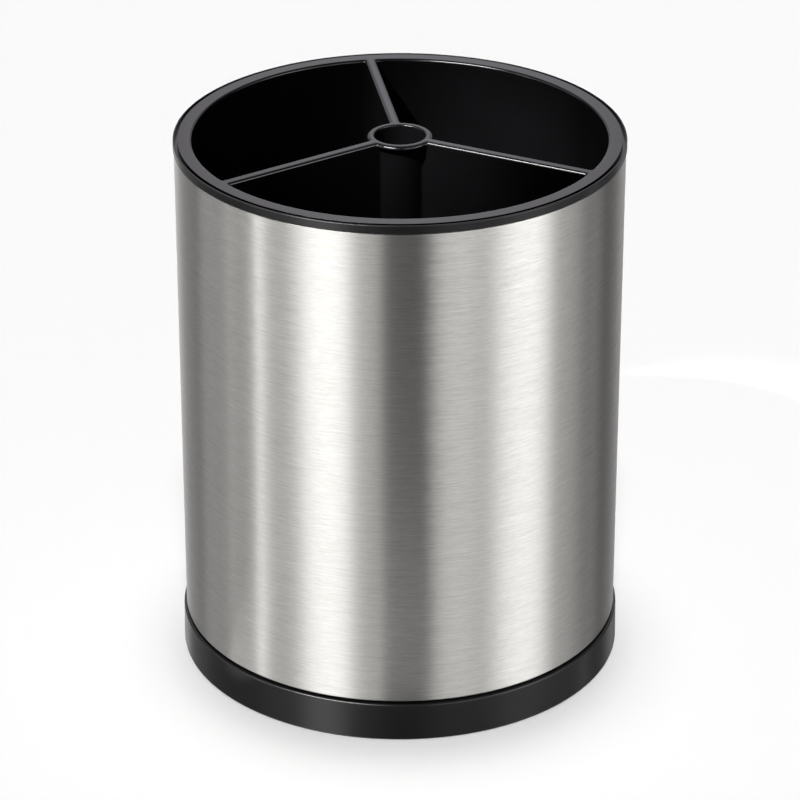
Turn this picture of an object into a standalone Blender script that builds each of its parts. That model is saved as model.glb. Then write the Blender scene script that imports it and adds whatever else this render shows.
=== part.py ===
# Rotating utensil holder: a brushed steel drum that turns on a weighted base
# and carries a lift-out insert with three compartments round a lipped tube.
# Metres, +Z up. The origin is on the bench, on the axis that the drum turns about.

import math

import bmesh
import bpy
from mathutils import Matrix

# Driving sizes of the whole
BODY_HEIGHT = 0.1907
DRUM_RADIUS = 0.0762
RIM_WIDTH = 0.0061
BASE_STEP = 0.0011
BASE_HEIGHT = 0.0135
FOOT_PROUD = 0.0002
DRUM_GAP = 0.00070

# Clearances
FIT_GAP = 0.0003
RUNNING_GAP = 0.0003
INSERT_FLOOR_GAP = 0.0010
FLANGE_GAP = 0.0005
OVERRUN = 0.0010
WELD_DISTANCE = 0.0000001

# Drum shell, rolled steel sheet
SHELL_THICKNESS = 0.0006
SHELL_TOP_EASE = 0.00025
SHELL_BOTTOM_ROLL = 0.0007
SHELL_FLANGE_WIDTH = 0.0040

# Top collar
COLLAR_PROUD = 0.0003
COLLAR_DROP = 0.0004
COLLAR_DEPTH = 0.00287
COLLAR_LIP_WALL = 0.0005
COLLAR_EDGE_RADIUS = 0.0003
COLLAR_SKIRT_DEPTH = 0.0080
COLLAR_SKIRT_WALL = 0.0018

# Divider insert, one moulding
FLANGE_THICKNESS = 0.0016
FLANGE_EDGE_RADIUS = 0.0005
LINER_DRAFT = 0.0015
LINER_WALL = 0.0021
LINER_FLOOR = 0.0024
LINER_HEEL_RADIUS = 0.0050
MOUTH_EDGE_RADIUS = 0.0004
FIN_TOP_THICKNESS = 0.00366
FIN_FOOT_THICKNESS = 0.0042
FIN_EDGE_RADIUS = 0.00085
POCKET_CORNER_RADIUS = 0.0009
POCKET_FLOOR_RADIUS = 0.0030
TUBE_RADIUS = 0.0094
TUBE_BORE_RADIUS = 0.0080
TUBE_BORE_EDGE_RADIUS = 0.0012
TUBE_LIP_RADIUS = 0.0111
TUBE_LIP_HEIGHT = 0.0012
TUBE_LIP_EDGE_RADIUS = 0.0011
TUBE_LIP_UNDERSIDE = 0.0006
FIN_ANGLES_DEG = (98.5, 215.4, 332.9)

# Drum floor
FLOOR_THICKNESS = 0.0022
FLOOR_SKIRT_HEIGHT = 0.0080
FLOOR_SKIRT_WALL = 0.0018
FLOOR_HEEL_RADIUS = 0.0006
FLOOR_RIB_HEIGHT = 0.0030
FLOOR_RIB_THICKNESS = 0.0016
FLOOR_RIB_BARS = 3
SPIGOT_RADIUS = 0.0070

# Ball bearing
BALL_RADIUS = 0.0020
BALL_CLEARANCE = 0.0003
BALL_COUNT = 12
BEARING_PITCH_RADIUS = 0.0450
RACE_WIDTH = 0.0070
RACE_THICKNESS = 0.0016
RACE_GROOVE_DEPTH = 0.0009
RACE_SEAT_DEPTH = 0.0005
CAGE_THICKNESS = 0.0012
CAGE_WIDTH = 0.0080

# Pivot
PIVOT_WASHER_RADIUS = 0.0110
PIVOT_WASHER_THICKNESS = 0.0012
PIVOT_SCREW_RADIUS = 0.0020
PIVOT_HEAD_RADIUS = 0.0038
PIVOT_HEAD_HEIGHT = 0.0022
PIVOT_HEAD_EDGE_RADIUS = 0.0008
PIVOT_SCREW_ENGAGEMENT = 0.0080

# Base housing
BASE_TAPER = 0.0002
BASE_TOP_EDGE_RADIUS = 0.0006
BASE_BOTTOM_EDGE_RADIUS = 0.0002
BASE_WALL = 0.0021
BASE_DECK_THICKNESS = 0.0020
LEDGE_WIDTH = 0.0108
DISH_DRAFT = 0.0010
BOSS_INSET = 0.0063
BOSS_RADIUS = 0.0042
BOSS_FIRST_ANGLE_DEG = 45.0
BOSS_COUNT = 4

# Ballast plate
BALLAST_BOSS_GAP = 0.0013
BALLAST_WASHER_GAP = 0.0020
BALLAST_EDGE_CHAMFER = 0.0005

# Base cover, its screws and feet
COVER_THICKNESS = 0.0016
COVER_RECESS = 0.0009
COVER_SCREW_RADIUS = 0.00125
COVER_SCREW_HEAD_RADIUS = 0.0027
COVER_SCREW_HEAD_HEIGHT = 0.0013
COVER_SCREW_ENGAGEMENT = 0.0060
COVER_SCREW_TIP = 0.0008
PAD_RADIUS = 0.0060
PAD_SEAT_DEPTH = 0.0006
PAD_EDGE_RADIUS = 0.0003
PAD_INSET = 0.0213
PAD_COUNT = 6

# Facets
ROUND_SEGMENTS = 56
RACE_SEGMENTS = 40
PIVOT_SEGMENTS = 24
SMALL_SEGMENTS = 12
BALL_SEGMENTS = 10
BALL_RINGS = 6
EDGE_STEPS = 2
POCKET_EDGE_STEPS = 3
POCKET_FLOOR_STEPS = 3
POCKET_CORNER_STEPS = 2
POCKET_WALL_STEPS = 18
POCKET_TUBE_STEPS = 6
GROOVE_STEPS = 3
SMOOTH_ANGLE_DEG = 35.0

# Heights above the bench, from the rim down to the feet
RIM_TOP = FOOT_PROUD + BODY_HEIGHT
COLLAR_TOP = RIM_TOP - COLLAR_DROP
COLLAR_BOTTOM = RIM_TOP - COLLAR_DEPTH
FLANGE_BOTTOM = RIM_TOP - FLANGE_THICKNESS
SHELL_TOP = COLLAR_BOTTOM - FIT_GAP
BASE_TOP = FOOT_PROUD + BASE_HEIGHT
SHELL_BOTTOM = BASE_TOP + DRUM_GAP
FLOOR_BOTTOM = SHELL_BOTTOM + SHELL_THICKNESS + FIT_GAP
FLOOR_TOP = FLOOR_BOTTOM + FLOOR_THICKNESS
FLOOR_RIB_TOP = FLOOR_TOP + FLOOR_RIB_HEIGHT
INSERT_BOTTOM = FLOOR_RIB_TOP + INSERT_FLOOR_GAP
POCKET_FLOOR = INSERT_BOTTOM + LINER_FLOOR
UPPER_RACE_TOP = FLOOR_BOTTOM + RACE_SEAT_DEPTH - FIT_GAP
UPPER_RACE_BOTTOM = UPPER_RACE_TOP - RACE_THICKNESS
BALL_HEIGHT = UPPER_RACE_BOTTOM + RACE_GROOVE_DEPTH - BALL_CLEARANCE - BALL_RADIUS
LOWER_RACE_TOP = 2 * BALL_HEIGHT - UPPER_RACE_BOTTOM
LOWER_RACE_BOTTOM = LOWER_RACE_TOP - RACE_THICKNESS
DECK_TOP = LOWER_RACE_BOTTOM - FIT_GAP + RACE_SEAT_DEPTH
DECK_BOTTOM = DECK_TOP - BASE_DECK_THICKNESS
WASHER_TOP = DECK_BOTTOM - RUNNING_GAP
WASHER_BOTTOM = WASHER_TOP - PIVOT_WASHER_THICKNESS
PIVOT_HEAD_TOP = WASHER_BOTTOM - FIT_GAP
SPIGOT_BOTTOM = WASHER_TOP + FIT_GAP
COVER_BOTTOM = FOOT_PROUD + COVER_RECESS
COVER_TOP = COVER_BOTTOM + COVER_THICKNESS
BALLAST_TOP = DECK_BOTTOM - FIT_GAP
BALLAST_BOTTOM = COVER_TOP + FIT_GAP
PAD_TOP = COVER_BOTTOM + PAD_SEAT_DEPTH - FIT_GAP

# Radii that follow from their neighbours
SHELL_BORE = DRUM_RADIUS - SHELL_THICKNESS
COLLAR_RADIUS = DRUM_RADIUS + COLLAR_PROUD
COLLAR_LIP_BORE = COLLAR_RADIUS - COLLAR_LIP_WALL
COLLAR_SKIRT_RADIUS = SHELL_BORE - FIT_GAP
FLANGE_RADIUS = COLLAR_LIP_BORE - FLANGE_GAP
LINER_MOUTH_RADIUS = DRUM_RADIUS - RIM_WIDTH
LINER_FOOT_RADIUS = LINER_MOUTH_RADIUS - LINER_DRAFT
FLOOR_RADIUS = SHELL_BORE - FIT_GAP
SPIGOT_BORE = PIVOT_SCREW_RADIUS + FIT_GAP
DECK_BORE = SPIGOT_RADIUS + RUNNING_GAP
BASE_RADIUS = DRUM_RADIUS + BASE_STEP
BASE_BORE = BASE_RADIUS - BASE_WALL
DISH_RADIUS = BASE_RADIUS - LEDGE_WIDTH
BOSS_CIRCLE_RADIUS = BASE_RADIUS - BOSS_INSET
BALLAST_RADIUS = BOSS_CIRCLE_RADIUS - BOSS_RADIUS - BALLAST_BOSS_GAP
BALLAST_BORE_RADIUS = PIVOT_WASHER_RADIUS + BALLAST_WASHER_GAP
PAD_CIRCLE_RADIUS = BASE_RADIUS - PAD_INSET
COVER_RADIUS = BASE_BORE - FIT_GAP
COVER_SCREW_BORE = COVER_SCREW_RADIUS + FIT_GAP
RACE_OUTER = BEARING_PITCH_RADIUS + RACE_WIDTH / 2
RACE_INNER = BEARING_PITCH_RADIUS - RACE_WIDTH / 2
BALL_SOCKET_RADIUS = BALL_RADIUS + BALL_CLEARANCE

# Colours in linear light
BLACK_PLASTIC = (0.012, 0.012, 0.013)
BRUSHED_STEEL = (0.60, 0.59, 0.57)
PLAIN_STEEL = (0.42, 0.42, 0.43)
DARK_RUBBER = (0.020, 0.020, 0.020)


# Working tools


def new_material(name, colour, roughness, metallic):
    material = bpy.data.materials.new(name)
    material.use_nodes = True
    shader = material.node_tree.nodes["Principled BSDF"]
    shader.inputs["Base Color"].default_value = (*colour, 1)
    shader.inputs["Roughness"].default_value = roughness
    shader.inputs["Metallic"].default_value = metallic
    return material


def new_group(name, height):
    """An empty on the turning axis that carries the pieces of one body."""
    group = bpy.data.objects.new(name, None)
    group.location.z = height
    bpy.context.scene.collection.objects.link(group)
    return group


def new_object(name, bm):
    """A mesh object from a closed bmesh, with its faces turned outwards."""
    bmesh.ops.recalc_face_normals(bm, faces=bm.faces)
    mesh = bpy.data.meshes.new(name)
    bm.to_mesh(mesh)
    bm.free()
    mesh.shade_smooth()
    mesh.set_sharp_from_angle(angle=math.radians(SMOOTH_ANGLE_DEG))
    obj = bpy.data.objects.new(name, mesh)
    bpy.context.scene.collection.objects.link(obj)
    return obj


def finish_piece(obj, group, material):
    """Gives a piece its material and hangs it on its body, at the place it has now."""
    if not obj.data.materials:
        obj.data.materials.append(material)
    obj.parent = group
    obj.matrix_parent_inverse = Matrix.Translation(group.location).inverted()
    return obj


def arc(centre_x, centre_y, radius, start, end, steps):
    """Points on a circle from one angle to another, both ends included."""
    angles = [start + (end - start) * step / steps for step in range(steps + 1)]
    return [(centre_x + radius * math.cos(a), centre_y + radius * math.sin(a)) for a in angles]


def eased(corners, steps=EDGE_STEPS):
    """An outline from (radius, height, edge radius) corners, with an arc at each rounded one."""
    outline = []
    for index, (x, y, edge) in enumerate(corners):
        if not edge:
            outline.append((x, y))
            continue
        before = corners[index - 1]
        after = corners[(index + 1) % len(corners)]
        to_before = (before[0] - x, before[1] - y)
        to_after = (after[0] - x, after[1] - y)
        reach_before = math.hypot(*to_before)
        reach_after = math.hypot(*to_after)
        angle_before = math.atan2(to_before[1], to_before[0])
        angle_after = math.atan2(to_after[1], to_after[0])
        turn = (angle_after - angle_before + math.pi) % (2 * math.pi) - math.pi
        half = abs(turn) / 2
        tangent = min(edge / math.tan(half), reach_before / 2, reach_after / 2)
        radius = tangent * math.tan(half)
        middle = angle_before + turn / 2
        centre_x = x + math.cos(middle) * radius / math.sin(half)
        centre_y = y + math.sin(middle) * radius / math.sin(half)
        side = math.copysign(math.pi / 2 - half, turn)
        start = middle + math.pi + side
        end = middle + math.pi - side
        outline += arc(centre_x, centre_y, radius, start, end, steps)
    return outline


def turned(name, outline, segments):
    """A closed outline of (radius, height) points spun once round the Z axis."""
    bm = bmesh.new()
    verts = [bm.verts.new((radius, 0, height)) for radius, height in outline]
    edges = [bm.edges.new((verts[i - 1], verts[i])) for i in range(len(verts))]
    bmesh.ops.spin(
        bm, geom=verts + edges, cent=(0, 0, 0), axis=(0, 0, 1), angle=2 * math.pi,
        steps=segments, use_merge=True, use_duplicate=False,
    )
    bmesh.ops.remove_doubles(bm, verts=bm.verts, dist=WELD_DISTANCE)
    axis_edges = [e for e in bm.edges if not e.link_faces]
    bmesh.ops.delete(bm, geom=axis_edges, context="EDGES")
    return new_object(name, bm)


def lofted(name, sections):
    """A solid skinned over sections of (height, points), each with the same number of points."""
    bm = bmesh.new()
    rings = [[bm.verts.new((x, y, height)) for x, y in points] for height, points in sections]
    for lower, upper in zip(rings, rings[1:]):
        for i in range(len(lower)):
            bm.faces.new((lower[i - 1], lower[i], upper[i], upper[i - 1]))
    bm.faces.new(rings[0])
    bm.faces.new(rings[-1])
    return new_object(name, bm)


def box(name, length, width, low, high):
    """A block centred on the Z axis, between two heights."""
    bm = bmesh.new()
    bmesh.ops.create_cube(bm, size=1)
    bmesh.ops.scale(bm, vec=(length, width, high - low), verts=bm.verts)
    bmesh.ops.translate(bm, vec=(0, 0, (low + high) / 2), verts=bm.verts)
    return new_object(name, bm)


def bar(name, radius, low, high, segments=SMALL_SEGMENTS):
    """A plain round bar on the Z axis, between two heights."""
    return turned(name, [(0, low), (radius, low), (radius, high), (0, high)], segments)


def join_or_cut(target, tools, operation):
    """Unions the tools with the target or cuts them from it, and keeps them as hidden helpers."""
    for tool in tools:
        modifier = target.modifiers.new(tool.name, "BOOLEAN")
        modifier.operation = operation
        modifier.object = tool
        tool.hide_render = True
        tool.display_type = "WIRE"


def copies_on_circle(source, name, radius, count, first_angle):
    """The source and its copies, named and set evenly round a circle."""
    places = []
    for index in range(count):
        obj = source if index == 0 else bpy.data.objects.new(source.name, source.data)
        if index:
            bpy.context.scene.collection.objects.link(obj)
        obj.name = name.format(index + 1)
        angle = first_angle + 2 * math.pi * index / count
        obj.location = (radius * math.cos(angle), radius * math.sin(angle), 0)
        obj.rotation_euler.z = angle
        places.append(obj)
    return places


# Base, which stands still


def make_base_housing():
    """Moulded base ring: outer wall, ledge under the drum, and a sunk deck with the race's seat."""
    ledge_bottom = BASE_TOP - BASE_DECK_THICKNESS
    seat = DECK_TOP - RACE_SEAT_DEPTH
    seat_outer = RACE_OUTER + FIT_GAP
    seat_inner = RACE_INNER - FIT_GAP
    outline = eased([
        (BASE_RADIUS, FOOT_PROUD, BASE_BOTTOM_EDGE_RADIUS),
        (BASE_RADIUS - BASE_TAPER, BASE_TOP, BASE_TOP_EDGE_RADIUS),
        (DISH_RADIUS, BASE_TOP, 0),
        (DISH_RADIUS - DISH_DRAFT, DECK_TOP, 0),
        (seat_outer, DECK_TOP, 0),
        (seat_outer, seat, 0),
        (seat_inner, seat, 0),
        (seat_inner, DECK_TOP, 0),
        (0, DECK_TOP, 0),
        (0, DECK_BOTTOM, 0),
        (DISH_RADIUS + BASE_DECK_THICKNESS, DECK_BOTTOM, 0),
        (DISH_RADIUS + BASE_DECK_THICKNESS, ledge_bottom, 0),
        (BASE_BORE, ledge_bottom, 0),
        (BASE_BORE, FOOT_PROUD, 0),
    ])
    housing = turned("base_housing", outline, ROUND_SEGMENTS)
    boss_bottom = COVER_TOP + FIT_GAP
    first = math.radians(BOSS_FIRST_ANGLE_DEG)
    boss = bar("boss", BOSS_RADIUS, boss_bottom, ledge_bottom + BASE_DECK_THICKNESS / 2)
    bosses = copies_on_circle(boss, "boss_{}", BOSS_CIRCLE_RADIUS, BOSS_COUNT, first)
    join_or_cut(housing, bosses, "UNION")
    pilot_top = COVER_BOTTOM + COVER_SCREW_HEAD_HEIGHT + COVER_SCREW_ENGAGEMENT + FIT_GAP
    pilot = bar("pilot", COVER_SCREW_BORE, boss_bottom - OVERRUN, pilot_top)
    pilots = copies_on_circle(pilot, "pilot_{}", BOSS_CIRCLE_RADIUS, BOSS_COUNT, first)
    pivot_bore = bar("pivot_bore", DECK_BORE, DECK_BOTTOM - OVERRUN, DECK_TOP + OVERRUN, PIVOT_SEGMENTS)
    join_or_cut(housing, [*pilots, pivot_bore], "DIFFERENCE")
    return housing


def make_ballast_plate():
    """Steel ring that fills the room between deck and cover."""
    chamfer = BALLAST_EDGE_CHAMFER
    outline = [
        (BALLAST_RADIUS - chamfer, BALLAST_BOTTOM),
        (BALLAST_RADIUS, BALLAST_BOTTOM + chamfer),
        (BALLAST_RADIUS, BALLAST_TOP - chamfer),
        (BALLAST_RADIUS - chamfer, BALLAST_TOP),
        (BALLAST_BORE_RADIUS, BALLAST_TOP),
        (BALLAST_BORE_RADIUS, BALLAST_BOTTOM),
    ]
    return turned("ballast_plate", outline, RACE_SEGMENTS)


def make_base_cover():
    """Plate that closes the base, with countersunk screw holes and seats for the feet."""
    outline = [(0, COVER_BOTTOM), (COVER_RADIUS, COVER_BOTTOM), (COVER_RADIUS, COVER_TOP), (0, COVER_TOP)]
    cover = turned("base_cover", outline, ROUND_SEGMENTS)
    head = COVER_SCREW_HEAD_RADIUS + FIT_GAP
    cone_top = COVER_BOTTOM + COVER_SCREW_HEAD_HEIGHT
    countersink = turned("countersink", [
        (0, COVER_BOTTOM - OVERRUN),
        (head, COVER_BOTTOM - OVERRUN),
        (head, COVER_BOTTOM),
        (COVER_SCREW_BORE, cone_top),
        (COVER_SCREW_BORE, COVER_TOP + OVERRUN),
        (0, COVER_TOP + OVERRUN),
    ], SMALL_SEGMENTS)
    first = math.radians(BOSS_FIRST_ANGLE_DEG)
    holes = copies_on_circle(countersink, "countersink_{}", BOSS_CIRCLE_RADIUS, BOSS_COUNT, first)
    join_or_cut(cover, holes, "DIFFERENCE")
    seat = bar("pad_seat", PAD_RADIUS + FIT_GAP, COVER_BOTTOM - OVERRUN, COVER_BOTTOM + PAD_SEAT_DEPTH)
    seats = copies_on_circle(seat, "pad_seat_{}", PAD_CIRCLE_RADIUS, PAD_COUNT, 0)
    join_or_cut(cover, seats, "DIFFERENCE")
    return cover


def make_cover_screws():
    """Countersunk self-tapping screws, flush with the cover."""
    cone_top = COVER_BOTTOM + COVER_SCREW_HEAD_HEIGHT
    tip = cone_top + COVER_SCREW_ENGAGEMENT
    screw = turned("screw", [
        (0, COVER_BOTTOM),
        (COVER_SCREW_HEAD_RADIUS, COVER_BOTTOM),
        (COVER_SCREW_RADIUS, cone_top),
        (COVER_SCREW_RADIUS, tip - COVER_SCREW_TIP),
        (0, tip),
    ], SMALL_SEGMENTS)
    first = math.radians(BOSS_FIRST_ANGLE_DEG)
    return copies_on_circle(screw, "cover_screw_{}", BOSS_CIRCLE_RADIUS, BOSS_COUNT, first)


def make_foot_pads():
    """Rubber pads with an eased lower edge."""
    outline = eased([(0, 0, 0), (PAD_RADIUS, 0, PAD_EDGE_RADIUS), (PAD_RADIUS, PAD_TOP, 0), (0, PAD_TOP, 0)])
    pad = turned("pad", outline, SMALL_SEGMENTS)
    return copies_on_circle(pad, "foot_pad_{}", PAD_CIRCLE_RADIUS, PAD_COUNT, 0)


# Ball bearing


def make_race(name, face, side):
    """Grooved ring: face is the height of its grooved side, side is +1 when the groove looks up."""
    back = face - side * RACE_THICKNESS
    rise = abs(face - BALL_HEIGHT)
    half_angle = math.acos(rise / BALL_SOCKET_RADIUS)
    down = -side * math.pi / 2
    groove = arc(
        BEARING_PITCH_RADIUS, BALL_HEIGHT, BALL_SOCKET_RADIUS,
        down + side * half_angle, down - side * half_angle, GROOVE_STEPS,
    )
    outline = [(RACE_INNER, back), (RACE_OUTER, back), (RACE_OUTER, face), *groove, (RACE_INNER, face)]
    return turned(name, outline, RACE_SEGMENTS)


def make_ball_cage():
    """Flat ring with one round window for each ball."""
    outer = BEARING_PITCH_RADIUS + CAGE_WIDTH / 2
    inner = BEARING_PITCH_RADIUS - CAGE_WIDTH / 2
    low = BALL_HEIGHT - CAGE_THICKNESS / 2
    high = BALL_HEIGHT + CAGE_THICKNESS / 2
    cage = turned("ball_cage", [(inner, low), (outer, low), (outer, high), (inner, high)], RACE_SEGMENTS)
    window = bar("window", BALL_SOCKET_RADIUS, low - OVERRUN, high + OVERRUN)
    windows = copies_on_circle(window, "window_{}", BEARING_PITCH_RADIUS, BALL_COUNT, 0)
    join_or_cut(cage, windows, "DIFFERENCE")
    return cage


def make_balls():
    bm = bmesh.new()
    bmesh.ops.create_uvsphere(bm, u_segments=BALL_SEGMENTS, v_segments=BALL_RINGS, radius=BALL_RADIUS)
    ball = new_object("ball", bm)
    balls = copies_on_circle(ball, "bearing_ball_{:02d}", BEARING_PITCH_RADIUS, BALL_COUNT, 0)
    for obj in balls:
        obj.location.z = BALL_HEIGHT
    return balls


# Drum, which turns


def make_drum_shell():
    """Sheet steel tube. Its lower edge rolls inwards into a flange that carries the floor."""
    flange_inner = DRUM_RADIUS - SHELL_FLANGE_WIDTH
    inside_roll = SHELL_BOTTOM_ROLL - SHELL_THICKNESS
    outline = eased([
        (DRUM_RADIUS, SHELL_BOTTOM, SHELL_BOTTOM_ROLL),
        (DRUM_RADIUS, SHELL_TOP, SHELL_TOP_EASE),
        (SHELL_BORE, SHELL_TOP, 0),
        (SHELL_BORE, SHELL_BOTTOM + SHELL_THICKNESS, inside_roll),
        (flange_inner, SHELL_BOTTOM + SHELL_THICKNESS, 0),
        (flange_inner, SHELL_BOTTOM, 0),
    ])
    return turned("drum_shell", outline, ROUND_SEGMENTS)


def make_top_collar():
    """Ring on the shell's edge: a lip round the insert's flange, a shelf below it and a skirt inside."""
    shelf = FLANGE_BOTTOM - FIT_GAP
    skirt_inner = COLLAR_SKIRT_RADIUS - COLLAR_SKIRT_WALL
    skirt_bottom = COLLAR_BOTTOM - COLLAR_SKIRT_DEPTH
    outline = eased([
        (COLLAR_RADIUS, COLLAR_BOTTOM, 0),
        (COLLAR_RADIUS, COLLAR_TOP, COLLAR_EDGE_RADIUS),
        (COLLAR_LIP_BORE, COLLAR_TOP, 0),
        (COLLAR_LIP_BORE, shelf, 0),
        (skirt_inner, shelf, 0),
        (skirt_inner, skirt_bottom, 0),
        (COLLAR_SKIRT_RADIUS, skirt_bottom, 0),
        (COLLAR_SKIRT_RADIUS, COLLAR_BOTTOM, 0),
    ])
    return turned("top_collar", outline, ROUND_SEGMENTS)


def make_drum_floor():
    """Moulded floor: ribbed plate, skirt up inside the shell, race seat below and a pivot spigot."""
    seat = FLOOR_BOTTOM + RACE_SEAT_DEPTH
    seat_outer = RACE_OUTER + FIT_GAP
    seat_inner = RACE_INNER - FIT_GAP
    skirt_inner = FLOOR_RADIUS - FLOOR_SKIRT_WALL
    outline = eased([
        (0, FLOOR_BOTTOM, 0),
        (seat_inner, FLOOR_BOTTOM, 0),
        (seat_inner, seat, 0),
        (seat_outer, seat, 0),
        (seat_outer, FLOOR_BOTTOM, 0),
        (FLOOR_RADIUS, FLOOR_BOTTOM, FLOOR_HEEL_RADIUS),
        (FLOOR_RADIUS, FLOOR_TOP + FLOOR_SKIRT_HEIGHT, 0),
        (skirt_inner, FLOOR_TOP + FLOOR_SKIRT_HEIGHT, 0),
        (skirt_inner, FLOOR_TOP, 0),
        (0, FLOOR_TOP, 0),
    ])
    floor = turned("drum_floor", outline, ROUND_SEGMENTS)
    spigot = bar("spigot", SPIGOT_RADIUS, SPIGOT_BOTTOM, FLOOR_RIB_TOP, PIVOT_SEGMENTS)
    bore_top = SPIGOT_BOTTOM + PIVOT_SCREW_ENGAGEMENT + FIT_GAP
    spigot_bore = bar("spigot_bore", SPIGOT_BORE, SPIGOT_BOTTOM - OVERRUN, bore_top)
    reach = skirt_inner + FLOOR_SKIRT_WALL / 2
    ribs = []
    for index in range(FLOOR_RIB_BARS):
        rib = box("rib_bar_{}".format(index), 2 * reach, FLOOR_RIB_THICKNESS,
                  FLOOR_TOP - FLOOR_THICKNESS / 2, FLOOR_RIB_TOP)
        rib.rotation_euler.z = math.pi * index / FLOOR_RIB_BARS
        ribs.append(rib)
    join_or_cut(floor, [spigot, *ribs], "UNION")
    join_or_cut(floor, [spigot_bore], "DIFFERENCE")
    return floor


def make_pivot_washer():
    bore = PIVOT_SCREW_RADIUS + FIT_GAP
    outline = [
        (bore, WASHER_BOTTOM),
        (PIVOT_WASHER_RADIUS, WASHER_BOTTOM),
        (PIVOT_WASHER_RADIUS, WASHER_TOP),
        (bore, WASHER_TOP),
    ]
    return turned("pivot_washer", outline, PIVOT_SEGMENTS)


def make_pivot_screw():
    """Pan head screw, up through the washer into the spigot."""
    head_bottom = PIVOT_HEAD_TOP - PIVOT_HEAD_HEIGHT
    tip = SPIGOT_BOTTOM + PIVOT_SCREW_ENGAGEMENT
    outline = eased([
        (0, head_bottom, 0),
        (PIVOT_HEAD_RADIUS, head_bottom, PIVOT_HEAD_EDGE_RADIUS),
        (PIVOT_HEAD_RADIUS, PIVOT_HEAD_TOP, 0),
        (PIVOT_SCREW_RADIUS, PIVOT_HEAD_TOP, 0),
        (PIVOT_SCREW_RADIUS, tip, 0),
        (0, tip, 0),
    ])
    return turned("pivot_screw", outline, SMALL_SEGMENTS)


# Divider insert, which lifts out


def pocket_outline(start, end, wall, tube, half_fin, corner):
    """Plan of one compartment: outer wall, two fin faces and the tube, with rounded corners.

    start and end are the angles of the fins' centre planes, wall and tube are radii.
    """
    wall_turn = math.asin((half_fin + corner) / (wall - corner))
    tube_turn = math.asin((half_fin + corner) / (tube + corner))
    quarter = math.pi / 2
    wall_start = start + wall_turn
    wall_end = end - wall_turn
    tube_start = start + tube_turn
    tube_end = end - tube_turn

    def corner_arc(radius, angle, first, last):
        x = radius * math.cos(angle)
        y = radius * math.sin(angle)
        return arc(x, y, corner, first, last, POCKET_CORNER_STEPS)

    points = corner_arc(wall - corner, wall_start, start - quarter, wall_start)
    points += arc(0, 0, wall, wall_start, wall_end, POCKET_WALL_STEPS)[1:-1]
    points += corner_arc(wall - corner, wall_end, wall_end, end + quarter)
    points += corner_arc(tube + corner, tube_end, end + quarter, tube_end + 2 * quarter)
    points += arc(0, 0, tube, tube_end, tube_start, POCKET_TUBE_STEPS)[1:-1]
    points += corner_arc(tube + corner, tube_start, tube_start + 2 * quarter, start + 3 * quarter)
    return points


def edge_flare(depth, edge):
    """How far a rounded top edge has drawn back from its wall at a depth below the top."""
    if depth >= edge:
        return 0
    return edge - math.sqrt(edge * edge - (edge - depth) ** 2)


def make_pocket(name, start, end):
    """The room of one compartment, skinned over sections from its floor to above the rim."""
    wall_height = RIM_TOP - POCKET_FLOOR
    lip_bottom = RIM_TOP - TUBE_LIP_HEIGHT
    tube_top = lip_bottom - TUBE_LIP_UNDERSIDE

    def section(height, inset, tube):
        share = (height - POCKET_FLOOR) / wall_height
        wall = LINER_FOOT_RADIUS + (LINER_MOUTH_RADIUS - LINER_FOOT_RADIUS) * share
        fin = FIN_FOOT_THICKNESS + (FIN_TOP_THICKNESS - FIN_FOOT_THICKNESS) * share
        depth = RIM_TOP - height
        wall += edge_flare(depth, MOUTH_EDGE_RADIUS) - inset
        half_fin = fin / 2 - edge_flare(depth, FIN_EDGE_RADIUS) + inset
        return pocket_outline(start, end, wall, tube + inset, half_fin, POCKET_CORNER_RADIUS)

    sections = []
    for step in range(POCKET_FLOOR_STEPS + 1):
        angle = math.pi / 2 * step / POCKET_FLOOR_STEPS
        inset = POCKET_FLOOR_RADIUS * (1 - math.sin(angle))
        height = POCKET_FLOOR + POCKET_FLOOR_RADIUS * (1 - math.cos(angle))
        sections.append((height, section(height, inset, TUBE_RADIUS)))
    sections.append((tube_top, section(tube_top, 0, TUBE_RADIUS)))
    sections.append((lip_bottom, section(lip_bottom, 0, TUBE_LIP_RADIUS)))
    for step in range(POCKET_EDGE_STEPS + 1):
        angle = math.pi / 2 * step / POCKET_EDGE_STEPS
        depth = FIN_EDGE_RADIUS * (1 - math.sin(angle))
        height = RIM_TOP - depth
        tube = TUBE_LIP_RADIUS - edge_flare(depth, TUBE_LIP_EDGE_RADIUS)
        sections.append((height, section(height, 0, tube)))
    sections.append((RIM_TOP + OVERRUN, sections[-1][1]))
    return lofted(name, sections)


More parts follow.
